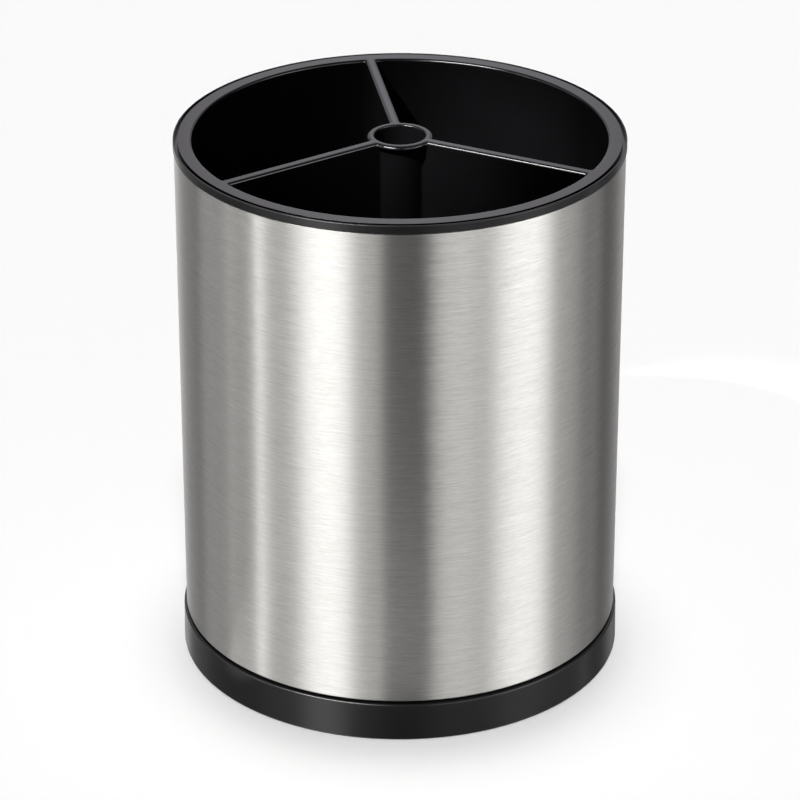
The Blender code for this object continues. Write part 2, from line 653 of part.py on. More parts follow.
def make_divider_insert():
    """Liner with flange, three fins and a lipped tube in one moulding: a turned body less its rooms."""
    wall_top = LINER_MOUTH_RADIUS + LINER_WALL
    wall_foot = LINER_FOOT_RADIUS + LINER_WALL
    outline = eased([
        (0, INSERT_BOTTOM, 0),
        (wall_foot, INSERT_BOTTOM, LINER_HEEL_RADIUS),
        (wall_top, FLANGE_BOTTOM, 0),
        (FLANGE_RADIUS, FLANGE_BOTTOM, 0),
        (FLANGE_RADIUS, RIM_TOP, FLANGE_EDGE_RADIUS),
        (0, RIM_TOP, 0),
    ])
    insert = turned("divider_insert", outline, ROUND_SEGMENTS)
    angles = [math.radians(angle) for angle in FIN_ANGLES_DEG]
    angles.append(angles[0] + 2 * math.pi)
    rooms = [
        make_pocket("pocket_{}".format(index), start, end)
        for index, (start, end) in enumerate(zip(angles, angles[1:]))
    ]
    edge = TUBE_BORE_EDGE_RADIUS
    flare = arc(TUBE_BORE_RADIUS + edge, RIM_TOP - edge, edge, math.pi, math.pi / 2, POCKET_EDGE_STEPS)
    bore_outline = [(0, POCKET_FLOOR), (TUBE_BORE_RADIUS, POCKET_FLOOR), *flare]
    bore_outline += [(TUBE_BORE_RADIUS + edge, RIM_TOP + OVERRUN), (0, RIM_TOP + OVERRUN)]
    rooms.append(turned("tube_bore", bore_outline, PIVOT_SEGMENTS))
    join_or_cut(insert, rooms, "DIFFERENCE")
    return insert


def build():
    for obj in list(bpy.data.objects):
        bpy.data.objects.remove(obj, do_unlink=True)

    black = new_material("black_abs", BLACK_PLASTIC, 0.38, 0)
    gloss_black = new_material("black_abs_insert", BLACK_PLASTIC, 0.28, 0)
    brushed = new_material("brushed_stainless", BRUSHED_STEEL, 0.32, 1)
    steel = new_material("plain_steel", PLAIN_STEEL, 0.35, 1)
    rubber = new_material("foot_rubber", DARK_RUBBER, 0.75, 0)

    base = new_group("base_body", 0)
    cage = new_group("cage_pivot", BALL_HEIGHT)
    drum = new_group("drum_pivot", BALL_HEIGHT)
    insert = new_group("insert_lift", FLANGE_BOTTOM)

    finish_piece(make_base_housing(), base, black)
    finish_piece(make_ballast_plate(), base, steel)
    finish_piece(make_base_cover(), base, black)
    for screw in make_cover_screws():
        finish_piece(screw, base, steel)
    for pad in make_foot_pads():
        finish_piece(pad, base, rubber)
    finish_piece(make_race("lower_race", LOWER_RACE_TOP, 1), base, steel)

    finish_piece(make_ball_cage(), cage, black)
    for ball in make_balls():
        finish_piece(ball, cage, steel)

    finish_piece(make_drum_shell(), drum, brushed)
    finish_piece(make_top_collar(), drum, black)
    finish_piece(make_drum_floor(), drum, black)
    finish_piece(make_race("upper_race", UPPER_RACE_BOTTOM, -1), drum, steel)
    finish_piece(make_pivot_washer(), drum, steel)
    finish_piece(make_pivot_screw(), drum, steel)

    finish_piece(make_divider_insert(), insert, gloss_black)


build()
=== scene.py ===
import math

import bmesh
import bpy
from mathutils import Matrix, Vector


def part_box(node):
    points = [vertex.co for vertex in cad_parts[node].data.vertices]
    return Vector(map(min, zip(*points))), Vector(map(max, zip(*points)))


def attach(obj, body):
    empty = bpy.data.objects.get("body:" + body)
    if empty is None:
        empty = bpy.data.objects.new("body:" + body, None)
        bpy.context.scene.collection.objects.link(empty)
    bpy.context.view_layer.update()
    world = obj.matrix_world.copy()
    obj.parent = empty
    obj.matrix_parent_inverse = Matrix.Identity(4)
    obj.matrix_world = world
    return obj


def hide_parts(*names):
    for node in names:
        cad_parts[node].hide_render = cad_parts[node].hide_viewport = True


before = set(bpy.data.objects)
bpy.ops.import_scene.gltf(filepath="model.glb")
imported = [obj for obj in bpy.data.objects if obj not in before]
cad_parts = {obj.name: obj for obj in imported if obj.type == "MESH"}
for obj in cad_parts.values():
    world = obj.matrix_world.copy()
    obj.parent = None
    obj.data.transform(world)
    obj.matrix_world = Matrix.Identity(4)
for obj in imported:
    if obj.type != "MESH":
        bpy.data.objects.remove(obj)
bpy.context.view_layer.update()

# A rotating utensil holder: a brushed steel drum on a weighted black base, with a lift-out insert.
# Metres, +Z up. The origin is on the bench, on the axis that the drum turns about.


# Base housing. A black ABS injection moulding: a low ring with a ledge under the drum and a sunk deck
# that seats the lower bearing race. Screw bosses for the cover hang under the ledge.

# The play between pieces that sit in each other, how far a cutter runs past the face that it cuts, and
# how fine a turned mesh is.
FIT_GAP = 0.0003
OVERRUN = 0.0010
ROUND_SEGMENTS = 224
BORE_SEGMENTS = 64
EDGE_STEPS = 6
WELD_DISTANCE = 0.0000020
SMOOTH_ANGLE_DEG = 30.0

housing_low, housing_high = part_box("base_housing")
base_radius = housing_high.x
base_bottom = housing_low.z
base_top = housing_high.z
BASE_TAPER = 0.0002
BASE_TOP_EDGE_RADIUS = 0.0006
BASE_BOTTOM_EDGE_RADIUS = 0.0002
BASE_WALL = 0.0021
DECK_THICKNESS = 0.0020
DECK_EDGE_RADIUS = 0.0006
LEDGE_WIDTH = 0.0108
DISH_DRAFT = 0.0010
RACE_SEAT_DEPTH = 0.0005
DECK_BORE_RADIUS = 0.0073
BOSS_RADIUS = 0.0042
PILOT_RADIUS = 0.00155
PILOT_DEPTH = 0.0063

# A finish has two colours and two roughnesses, which its patterns lead between. Most of a noise's
# values lie in NOISE_SPAN.
ABS_BLACKS = ("0e0d0f", "131214")
ABS_IOR = 1.52
SATIN_SHEEN = (0.23, 0.27)
SATIN_GRAIN_DEPTH = 0.0000012
MOULD_GRAIN = 0.00030
FLOW_MARK = 0.018
NOISE_SPAN = (0.3, 0.7)


def linear(code):
    """An sRGB hex colour as linear red, green and blue."""
    channels = [int(code[start:start + 2], 16) / 255 for start in (0, 2, 4)]
    return [c / 12.92 if c <= 0.04045 else ((c + 0.055) / 1.055) ** 2.4 for c in channels]


def add_node(tree, kind, inputs=None, **settings):
    """A node with its settings. An input is given a value, or the output socket that feeds it."""
    node = tree.nodes.new(kind)
    for name, value in settings.items():
        setattr(node, name, value)
    for name, value in (inputs or {}).items():
        if isinstance(value, bpy.types.NodeSocket):
            tree.links.new(value, node.inputs[name])
        else:
            node.inputs[name].default_value = value
    return node


def new_material(name):
    """An empty material, its tree, and the object coordinates that its patterns lie in."""
    material = bpy.data.materials.new(name)
    material.use_nodes = True
    tree = material.node_tree
    tree.nodes.clear()
    return material, tree, add_node(tree, "ShaderNodeTexCoord").outputs["Object"]


def finish(tree, tint, colours, wear, sheen, traits, wear_span=(0.0, 1.0)):
    """Ends a material: tint leads from one colour to the other, wear from one roughness to the other."""
    colour = add_node(tree, "ShaderNodeMix", {
        0: tint, 6: (*linear(colours[0]), 1), 7: (*linear(colours[1]), 1),
    }, data_type="RGBA")
    roughness = add_node(tree, "ShaderNodeMapRange", {
        "Value": wear, "From Min": wear_span[0], "From Max": wear_span[1],
        "To Min": sheen[0], "To Max": sheen[1],
    })
    shader = add_node(tree, "ShaderNodeBsdfPrincipled", {
        "Base Color": colour.outputs[2], "Roughness": roughness.outputs["Result"], **traits,
    })
    add_node(tree, "ShaderNodeOutputMaterial", {"Surface": shader.outputs["BSDF"]})


def moulded_plastic(name, blacks, sheen, grain_depth):
    """Black from a polished or spark-eroded mould: a fine grain, and faint flow marks in its sheen."""
    material, tree, place = new_material(name)
    flow = add_node(tree, "ShaderNodeTexNoise", {
        "Vector": place, "Scale": 1 / FLOW_MARK, "Detail": 3.0, "Roughness": 0.55,
    }).outputs["Fac"]
    grain = add_node(tree, "ShaderNodeTexNoise", {
        "Vector": place, "Scale": 1 / MOULD_GRAIN, "Detail": 2.0, "Roughness": 0.5,
    }).outputs["Fac"]
    relief = add_node(tree, "ShaderNodeBump", {"Height": grain, "Distance": grain_depth, "Strength": 1.0})
    finish(tree, flow, blacks, flow, sheen, {"Normal": relief.outputs["Normal"], "IOR": ABS_IOR}, NOISE_SPAN)
    return material


def arc(centre_x, centre_y, radius, start, end, steps):
    """Points on a circle from one angle to another, both ends included."""
    angles = [start + (end - start) * step / steps for step in range(steps + 1)]
    return [(centre_x + radius * math.cos(a), centre_y + radius * math.sin(a)) for a in angles]


def eased(corners):
    """An outline from (radius, height, edge radius) corners, with an arc at each rounded one."""
    outline = []
    for index, (x, y, edge) in enumerate(corners):
        if not edge:
            outline.append((x, y))
            continue
        sides = []
        for other in (corners[index - 1], corners[(index + 1) % len(corners)]):
            sides.append((math.hypot(other[0] - x, other[1] - y), math.atan2(other[1] - y, other[0] - x)))
        (reach_before, angle_before), (reach_after, angle_after) = sides
        turn =(angle_after - angle_before + math.pi) % (2 * math.pi) - math.pi
        half = abs(turn) / 2
        tangent = min(edge / math.tan(half), reach_before / 2, reach_after / 2)
        radius = tangent * math.tan(half)
        middle = angle_before + turn / 2
        centre_x = x + math.cos(middle) * radius / math.sin(half)
        centre_y = y + math.sin(middle) * radius / math.sin(half)
        side = math.copysign(math.pi / 2 - half, turn)
        first, last = middle + math.pi + side, middle + math.pi - side
        outline += arc(centre_x, centre_y, radius, first, last, EDGE_STEPS)
    return outline


def rod(radius, low, high):
    """The outline of a plain round bar."""
    return [(0, low), (radius, low), (radius, high), (0, high)]


def new_tree(name, sockets):
    """An empty Geometry Nodes tree with named inputs, and what its input node gives."""
    tree = bpy.data.node_groups.new(name, "GeometryNodeTree")
    tree.interface.new_socket("Geometry", in_out="INPUT", socket_type="NodeSocketGeometry")
    for socket_name, socket_type in sockets:
        tree.interface.new_socket(socket_name, in_out="INPUT", socket_type=socket_type)
    tree.interface.new_socket("Geometry", in_out="OUTPUT", socket_type="NodeSocketGeometry")
    return tree, add_node(tree, "NodeGroupInput").outputs


def end_tree(tree, geometry, material):
    """Makes what the tree made real, gives it its material and hands it out."""
    real = add_node(tree, "GeometryNodeRealizeInstances", {"Geometry": geometry})
    dressed = add_node(tree, "GeometryNodeSetMaterial", {
        "Geometry": real.outputs["Geometry"], "Material": material,
    })
    add_node(tree, "NodeGroupOutput", {"Geometry": dressed.outputs["Geometry"]})
    return tree


def turning_tree():
    """Sweeps the object's own outline, one chain of edges, round the Z axis."""
    tree, given = new_tree("turned_round_axis", [
        ("Segments", "NodeSocketInt"), ("Core Radius", "NodeSocketFloat"), ("Weld", "NodeSocketFloat"),
        ("Material", "NodeSocketMaterial"),
    ])
    profile = add_node(tree, "GeometryNodeMeshToCurve", {"Mesh": given["Geometry"]})
    circle = add_node(tree, "GeometryNodeCurvePrimitiveCircle", {
        "Resolution": given["Segments"], "Radius": given["Core Radius"],
    })
    swept = add_node(tree, "GeometryNodeCurveToMesh", {
        "Curve": circle.outputs["Curve"], "Profile Curve": profile.outputs["Curve"],
    })
    welded = add_node(tree, "GeometryNodeMergeByDistance", {
        "Geometry": swept.outputs["Mesh"], "Distance": given["Weld"],
    })
    return end_tree(tree, welded.outputs["Geometry"], given["Material"])


def copying_tree():
    """Sets copies of the object's own mesh evenly round the Z axis."""
    tree, given = new_tree("copies_round_axis", [
        ("Count", "NodeSocketInt"), ("Circle Radius", "NodeSocketFloat"), ("First Angle", "NodeSocketFloat"),
        ("Material", "NodeSocketMaterial"),
    ])
    index = add_node(tree, "GeometryNodeInputIndex")
    step = add_node(tree, "ShaderNodeMath", {0: 2 * math.pi, 1: given["Count"]}, operation="DIVIDE")
    turn = add_node(tree, "ShaderNodeMath", {
        0: index.outputs[0], 1: step.outputs[0], 2: given["First Angle"],
    }, operation="MULTIPLY_ADD")
    across = add_node(tree, "ShaderNodeMath", {0: turn.outputs[0]}, operation="COSINE")
    along = add_node(tree, "ShaderNodeMath", {0: turn.outputs[0]}, operation="SINE")
    spot = add_node(tree, "ShaderNodeCombineXYZ", {"X": across.outputs[0], "Y": along.outputs[0]})
    place = add_node(tree, "ShaderNodeVectorMath", {
        0: spot.outputs[0], "Scale": given["Circle Radius"],
    }, operation="SCALE")
    facing = add_node(tree, "ShaderNodeCombineXYZ", {"Z": turn.outputs[0]})
    points = add_node(tree, "GeometryNodePoints", {"Count": given["Count"], "Position": place.outputs[0]})
    copies = add_node(tree, "GeometryNodeInstanceOnPoints", {
        "Points": points.outputs[0], "Instance": given["Geometry"], "Rotation": facing.outputs[0],
    })
    return end_tree(tree, copies.outputs[0], given["Material"])


def settle(obj):
    """Applies the object's modifiers: the result becomes its plain mesh, and they are removed."""
    graph = bpy.context.evaluated_depsgraph_get()
    graph.update()
    made = bpy.data.meshes.new_from_object(obj.evaluated_get(graph), depsgraph=graph)
    obj.modifiers.clear()
    made.name = obj.name
    obj.data = made
    return obj


def run_tree(obj, tree, **values):
    """Runs a Geometry Nodes tree on an object and keeps what it makes as the object's own plain mesh."""
    modifier = obj.modifiers.new(tree.name, "NODES")
    modifier.node_group = tree
    for item in tree.interface.items_tree:
        key = item.name.lower().replace(" ", "_")
        if item.item_type == "SOCKET" and item.in_out == "INPUT" and key in values:
            modifier[item.identifier] = values[key]
    return settle(obj)


def new_object(name, data):
    obj = bpy.data.objects.new(name, data)
    bpy.context.scene.collection.objects.link(obj)
    return obj


def facing_out(obj):
    """Welds a closed mesh and turns its faces outwards."""
    bm = bmesh.new()
    bm.from_mesh(obj.data)
    bmesh.ops.remove_doubles(bm, verts=bm.verts, dist=WELD_DISTANCE)
    bmesh.ops.recalc_face_normals(bm, faces=bm.faces)
    bm.to_mesh(obj.data)
    bm.free()
    return obj


def turned(name, outline, material, segments=ROUND_SEGMENTS):
    """A solid of revolution. An outline that starts on the axis is open there, any other is a closed ring."""
    core = base_radius
    mesh = bpy.data.meshes.new(name)
    points = [(radius - core, -height, 0) for radius, height in outline]
    edges = [(index, index + 1) for index in range(len(points) - 1)]
    if outline[0][0]:
        edges.append((len(points) - 1, 0))
    mesh.from_pydata(points, edges, [])
    obj = new_object(name, mesh)
    run_tree(obj, turning, segments=segments, core_radius=core, weld=WELD_DISTANCE, material=material)
    return facing_out(obj)


def round_axis(obj, material, count, circle_radius, first_angle):
    """Repeats the object's mesh round the axis, all copies in one mesh."""
    return run_tree(
        obj, copying, count=count, circle_radius=circle_radius, first_angle=first_angle, material=material,
    )


def join_or_cut(target, tool, operation):
    """Unions a tool with the target or cuts it away, and removes the tool."""
    modifier = target.modifiers.new(tool.name, "BOOLEAN")
    modifier.operation = operation
    modifier.object = tool
    settle(target)
    bpy.data.objects.remove(tool, do_unlink=True)


def work_round(target, operation, outline, material, places):
    """Joins turned copies of an outline to the target, or cuts them out of it, round the axis."""
    tool = turned("tool", outline, material, BORE_SEGMENTS)
    join_or_cut(target, round_axis(tool, material, *places), operation)


def smoothed(obj):
    """Smooth shading with sharp edges past an angle. The flats keep their own normals up to each fillet."""
    obj.data.shade_smooth()
    obj.data.set_sharp_from_angle(angle=math.radians(SMOOTH_ANGLE_DEG))
    modifier = obj.modifiers.new("even_normals", "WEIGHTED_NORMAL")
    modifier.keep_sharp = True
    return settle(obj)


def dress(obj, material):
    """Gives the piece one material, whatever its tools left in its slots."""
    obj.data.materials.clear()
    obj.data.materials.append(material)
    return obj


def hand_over(obj, body, slot, *nodes):
    """Puts a finished piece on its body, in the place of the solids that it stands for."""
    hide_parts(*nodes)
    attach(obj, body)


turning = turning_tree()
copying = copying_tree()

race_low, race_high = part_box("lower_race")
race_outer = race_high.x
RACE_WIDTH = 0.0070
race_inner = race_outer - RACE_WIDTH
deck_top = race_low.z - FIT_GAP + RACE_SEAT_DEPTH
deck_bottom = deck_top - DECK_THICKNESS
ledge_bottom = base_top - DECK_THICKNESS
dish_radius = base_radius - LEDGE_WIDTH
seat_outer = race_outer + FIT_GAP
seat_inner = race_inner - FIT_GAP
seat_floor = deck_top - RACE_SEAT_DEPTH
screw_low, screw_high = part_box("cover_screw_1")
screw_middle = (screw_low + screw_high) / 2
SCREW_COUNT = 4
screw_circle = math.hypot(screw_middle.x, screw_middle.y)
screw_places = (SCREW_COUNT, screw_circle, math.atan2(screw_middle.y, screw_middle.x))
cover_low, cover_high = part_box("base_cover")
boss_bottom = cover_high.z + FIT_GAP

satin_abs = moulded_plastic("satin_moulded_abs", ABS_BLACKS, SATIN_SHEEN, SATIN_GRAIN_DEPTH)
housing = turned("base_ring", eased([
    (base_radius, base_bottom, BASE_BOTTOM_EDGE_RADIUS),
    (base_radius - BASE_TAPER, base_top, BASE_TOP_EDGE_RADIUS),
    (dish_radius, base_top, DECK_EDGE_RADIUS),
    (dish_radius - DISH_DRAFT, deck_top, DECK_EDGE_RADIUS),
    (seat_outer, deck_top, 0),
    (seat_outer, seat_floor, 0),
    (seat_inner, seat_floor, 0),
    (seat_inner, deck_top, 0),
    (DECK_BORE_RADIUS, deck_top, 0),
    (DECK_BORE_RADIUS, deck_bottom, 0),
    (dish_radius + DECK_THICKNESS, deck_bottom, 0),
    (dish_radius + DECK_THICKNESS, ledge_bottom, DECK_EDGE_RADIUS),
    (base_radius - BASE_WALL, ledge_bottom, DECK_EDGE_RADIUS),
    (base_radius - BASE_WALL, base_bottom, 0),
]), satin_abs)
boss = rod(BOSS_RADIUS, boss_bottom, ledge_bottom + DECK_THICKNESS / 2)
work_round(housing, "UNION", boss, satin_abs, screw_places)
pilot = rod(PILOT_RADIUS, boss_bottom - OVERRUN, boss_bottom + PILOT_DEPTH)
work_round(housing, "DIFFERENCE", pilot, satin_abs, screw_places)
dress(smoothed(housing), satin_abs)
hand_over(housing, "base", "black_trim", "base_housing")


# Ballast plate. A ring blanked from hot rolled steel plate, its edges knocked off, that lies under the
# deck so that the loaded holder doesn't tip. The mill scale leaves it blue-grey and cloudy.

BALLAST_CHAMFER = 0.0005
BALLAST_BORE_RADIUS = 0.0130
SCALE_GREYS = ("4b4f55", "6a6b6c")
SCALE_SHEEN = (0.42, 0.58)
SCALE_DEPTH = 0.00002
SCALE_PATCH = 0.012
ROLLING_STREAK = 0.0015


def drawn_marks(tree, place, sizes, detail):
    """Marks drawn out to a size of their own along each axis, as streaks and scratches are."""
    drawn = add_node(tree, "ShaderNodeMapping", {"Vector": place, "Scale": [1 / size for size in sizes]})
    return add_node(tree, "ShaderNodeTexNoise", {
        "Vector": drawn.outputs[0], "Scale": 1.0, "Detail": detail, "Roughness": 0.6,
    }).outputs["Fac"]


def hot_rolled_steel():
    """Mill scale in soft patches, with the rolls' streaks along one direction."""
    material, tree, place = new_material("hot_rolled_steel")
    patches = add_node(tree, "ShaderNodeTexNoise", {
        "Vector": place, "Scale": 1 / SCALE_PATCH, "Detail": 5.0, "Roughness": 0.6,
    }).outputs["Fac"]
    streaks = drawn_marks(tree, place, (SCALE_PATCH, ROLLING_STREAK, SCALE_PATCH), detail=3.0)
    both = add_node(tree, "ShaderNodeMath", {0: patches, 1: streaks}, operation="MULTIPLY").outputs[0]
    relief = add_node(tree, "ShaderNodeBump", {"Height": both, "Distance": SCALE_DEPTH, "Strength": 0.6})
    finish(tree, both, SCALE_GREYS, patches, SCALE_SHEEN, {
        "Metallic": 1.0, "Normal": relief.outputs["Normal"],
    }, NOISE_SPAN)
    return material


ballast_low, ballast_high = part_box("ballast_plate")
ballast = turned("ballast_ring", [
    (ballast_high.x - BALLAST_CHAMFER, ballast_low.z),
    (ballast_high.x, ballast_low.z + BALLAST_CHAMFER),
    (ballast_high.x, ballast_high.z - BALLAST_CHAMFER),
    (ballast_high.x - BALLAST_CHAMFER, ballast_high.z),
    (BALLAST_BORE_RADIUS + BALLAST_CHAMFER, ballast_high.z),
    (BALLAST_BORE_RADIUS, ballast_high.z - BALLAST_CHAMFER),
    (BALLAST_BORE_RADIUS, ballast_low.z + BALLAST_CHAMFER),
    (BALLAST_BORE_RADIUS + BALLAST_CHAMFER, ballast_low.z),
], hot_rolled_steel())
hand_over(smoothed(ballast), "base", "plain_steel", "ballast_plate")


# Base cover. A black ABS plate that closes the base from below, let in by a millimetre, with
# countersunk holes for its screws and a shallow round seat for each foot pad.

COVER_EDGE_RADIUS = 0.0003
SCREW_HEAD_RADIUS = 0.0027
SCREW_HEAD_HEIGHT = 0.0013
PAD_COUNT = 6
PAD_SEAT_DEPTH = 0.0006

pad_low, pad_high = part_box("foot_pad_1")
pad_radius = (pad_high.x - pad_low.x) / 2
pad_places = (PAD_COUNT, (pad_high.x + pad_low.x) / 2, 0.0)
cover = turned("cover_plate", eased([
    (0, cover_low.z, 0),
    (cover_high.x, cover_low.z, COVER_EDGE_RADIUS),
    (cover_high.x, cover_high.z, COVER_EDGE_RADIUS),
    (0, cover_high.z, 0),
]), satin_abs)
sink_radius = SCREW_HEAD_RADIUS + FIT_GAP
sink_slope = (sink_radius - PILOT_RADIUS) / SCREW_HEAD_HEIGHT
work_round(cover, "DIFFERENCE", [
    (0, cover_low.z - OVERRUN),
    (sink_radius + sink_slope * OVERRUN, cover_low.z - OVERRUN),
    (PILOT_RADIUS, cover_low.z + SCREW_HEAD_HEIGHT),
    (PILOT_RADIUS, cover_high.z + OVERRUN),
    (0, cover_high.z + OVERRUN),
], satin_abs, screw_places)
seat = rod(pad_radius + FIT_GAP, cover_low.z - OVERRUN, cover_low.z + PAD_SEAT_DEPTH)
work_round(cover, "DIFFERENCE", seat, satin_abs, pad_places)
dress(smoothed(cover), satin_abs)
hand_over(cover, "base", "black_trim", "base_cover")


# Cover screws. Countersunk self-tapping screws with a cross recess, zinc plated steel, driven up
# into the bosses until their heads lie flush with the cover.

SCREW_RADIUS = 0.00125
SCREW_TIP = 0.0008
RECESS_REACH = 0.0016
RECESS_HALF_SLOT = 0.00033
RECESS_DEPTH = 0.0010
RECESS_TAPER_SHARE = 0.35
ZINC_GREYS = ("8b8f96", "a9acb0")
ZINC_SHEEN = (0.26, 0.40)
ZINC_SPANGLE = 0.0009


def zinc_plated_steel():
    """Bright zinc over steel: pale blue-grey, in fine crystals of slightly different shine."""
    material, tree, place = new_material("zinc_plated_steel")
    crystals = add_node(tree, "ShaderNodeTexVoronoi", {"Vector": place, "Scale": 1 / ZINC_SPANGLE})
    shade = add_node(tree, "ShaderNodeSeparateColor", {"Color": crystals.outputs["Color"]}).outputs["Red"]
    finish(tree, shade, ZINC_GREYS, shade, ZINC_SHEEN, {"Metallic": 1.0})
    return material


def kept(bm, name):
    """Ends a bmesh: its mesh becomes an object."""
    mesh = bpy.data.meshes.new(name)
    bm.to_mesh(mesh)
    bm.free()
    return new_object(name, mesh)


def skinned(name, sections):
    """A closed solid skinned over a stack of loops that all have the same number of points."""
    bm = bmesh.new()
    rings = [[bm.verts.new(point) for point in section] for section in sections]
    for lower, upper in zip(rings, rings[1:]):
        for index in range(len(lower)):
            bm.faces.new((lower[index - 1], lower[index], upper[index], upper[index - 1]))
    bm.faces.new(rings[0])
    bm.faces.new(rings[-1])
    return facing_out(kept(bm, name))


def cross_recess(face, reach, half_slot, depth):
    """A cutter for a cross recess that opens downwards at a height and narrows as it goes up."""
    sections = []
    for height, scale in ((face - OVERRUN, 1.0), (face, 1.0), (face + depth, RECESS_TAPER_SHARE)):
        tip = reach * scale
        section = []
        for quarter in range(4):
            turn = Matrix.Rotation(math.pi / 2 * quarter, 2)
            for corner in ((tip, -half_slot), (tip, half_slot), (half_slot, half_slot)):
                section.append((*(turn @ Vector(corner)), height))
        sections.append(section)
    return skinned("recess", sections)


plated_steel = zinc_plated_steel()
screws = turned("cover_screws", eased([
    (0, screw_low.z, 0),
    (SCREW_HEAD_RADIUS, screw_low.z, 0),
    (SCREW_RADIUS, screw_low.z + SCREW_HEAD_HEIGHT, 0),
    (SCREW_RADIUS, screw_high.z - SCREW_TIP, 0),
    (0, screw_high.z, 0),
]), plated_steel, BORE_SEGMENTS)
recess = cross_recess(screw_low.z, RECESS_REACH, RECESS_HALF_SLOT, RECESS_DEPTH)
join_or_cut(screws, recess, "DIFFERENCE")
round_axis(smoothed(screws), plated_steel, *screw_places)
hand_over(screws, "base", "plain_steel", *["cover_screw_{}".format(n + 1) for n in range(SCREW_COUNT)])


# Foot pads. Discs punched from black nitrile rubber, stuck in their seats in the cover. The faces
# have the sheet's fine cloth mark, and the lower edge is eased.

PAD_EDGE_RADIUS = 0.0003
PAD_DISH_DEPTH = 0.00012
PAD_LAND = 0.0012
RUBBER_BLACKS = ("17171a", "232325")
RUBBER_SHEEN = (0.68, 0.88)
DUST_PATCH = 0.004
CLOTH_MARK = 0.00045
CLOTH_MARK_DEPTH = 0.00001


def nitrile_rubber():
    """Matt black rubber: the cloth mark of the vulcanised sheet, and a trace of dust in it."""
    material, tree, place = new_material("nitrile_rubber")
    dust = add_node(tree, "ShaderNodeTexNoise", {
        "Vector": place, "Scale": 1 / DUST_PATCH, "Detail": 4.0,
    }).outputs["Fac"]
    weave = add_node(tree, "ShaderNodeTexChecker", {"Vector": place, "Scale": 1 / CLOTH_MARK})
    relief = add_node(tree, "ShaderNodeBump", {
        "Height": weave.outputs["Fac"], "Distance": CLOTH_MARK_DEPTH, "Strength": 0.5,
    })
    finish(tree, dust, RUBBER_BLACKS, dust, RUBBER_SHEEN, {"Normal": relief.outputs["Normal"]})
    return material


foot_rubber = nitrile_rubber()
pads = turned("foot_pads", eased([
    (0, pad_low.z + PAD_DISH_DEPTH, 0),
    (pad_radius - PAD_LAND, pad_low.z + PAD_DISH_DEPTH, 0),
    (pad_radius - PAD_LAND + PAD_DISH_DEPTH, pad_low.z, 0),
    (pad_radius, pad_low.z, PAD_EDGE_RADIUS),
    (pad_radius, pad_high.z, 0),
    (0, pad_high.z, 0),
]), foot_rubber, BORE_SEGMENTS)
round_axis(smoothed(pads), foot_rubber, *pad_places)
hand_over(pads, "base", "foot_rubber", *["foot_pad_{}".format(n + 1) for n in range(PAD_COUNT)])


# Ball bearing. Two grooved rings turned from bearing steel, one let into the deck and one into the
# drum's floor, with steel balls between them that a flat black nylon cage keeps apart.

BALL_RADIUS = 0.0020
BALL_CLEARANCE = 0.0003
BALL_COUNT = 12
BALL_SEGMENTS = 32
BALL_RINGS = 20
CAGE_WIDTH = 0.0080
RACE_EDGE_RADIUS = 0.0002
GROOVE_STEPS = 10
BEARING_GREYS = ("8e9093", "b4b6b8")
BEARING_SHEEN = (0.12, 0.30)
OIL_PATCH = 0.006
# The real feed marks are too fine to show, so they are drawn a millimetre apart. At scale 1 the wave
# texture turns through WAVE_RATE radians in each unit.
LATHE_PITCH = 0.001005
LATHE_DEPTH = 0.000001
WAVE_RATE = 20
NYLON_BLACKS = ("141416", "1d1d20")
NYLON_SHEEN = (0.45, 0.55)
NYLON_GRAIN_DEPTH = 0.0000040


def turned_bearing_steel():
    """Ground and oiled ring steel: bright, with the lathe's fine rings and a thin uneven film of oil."""
    material, tree, place = new_material("turned_bearing_steel")
    rings = add_node(tree, "ShaderNodeTexWave", {
        "Vector": place, "Scale": 2 * math.pi / WAVE_RATE / LATHE_PITCH, "Distortion": 0.4, "Detail": 1.0,
    }, wave_type="RINGS", rings_direction="Z")
    film = add_node(tree, "ShaderNodeTexNoise", {
        "Vector": place, "Scale": 1 / OIL_PATCH, "Detail": 4.0,
    }).outputs["Fac"]
    relief = add_node(tree, "ShaderNodeBump", {
        "Height": rings.outputs["Fac"], "Distance": LATHE_DEPTH, "Strength": 0.4,
    })
    finish(tree, film, BEARING_GREYS, film, BEARING_SHEEN, {
        "Metallic": 1.0, "Normal": relief.outputs["Normal"],
    })
    return material


def race(name, low, high, side):
    """A grooved ring between two heights: side is +1 where the groove looks up."""
    face, back = (high, low) if side > 0 else (low, high)
    half_angle = side * math.acos(abs(face - ball_height) / pocket_radius)
    down = -side * math.pi / 2
    groove = arc(pitch_radius, ball_height, pocket_radius, down + half_angle, down - half_angle, GROOVE_STEPS)
    outline = eased([
        (race_inner, back, RACE_EDGE_RADIUS),
        (race_outer, back, RACE_EDGE_RADIUS),
        (race_outer, face, RACE_EDGE_RADIUS),
        *[(x, y, 0) for x, y in groove],
        (race_inner, face, RACE_EDGE_RADIUS),
    ])
    return smoothed(turned(name, outline, bearing_steel))


ball_low, ball_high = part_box("bearing_ball_01")
ball_height = (ball_low.z + ball_high.z) / 2
pitch_radius = (race_outer + race_inner) / 2
pocket_radius = BALL_RADIUS + BALL_CLEARANCE
ball_places = (BALL_COUNT, pitch_radius, 0.0)
bearing_steel = turned_bearing_steel()
hand_over(race("race_on_deck", race_low.z, race_high.z, 1), "base", "plain_steel", "lower_race")
upper_low, upper_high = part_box("upper_race")
hand_over(race("race_under_floor", upper_low.z, upper_high.z, -1), "drum", "plain_steel", "upper_race")

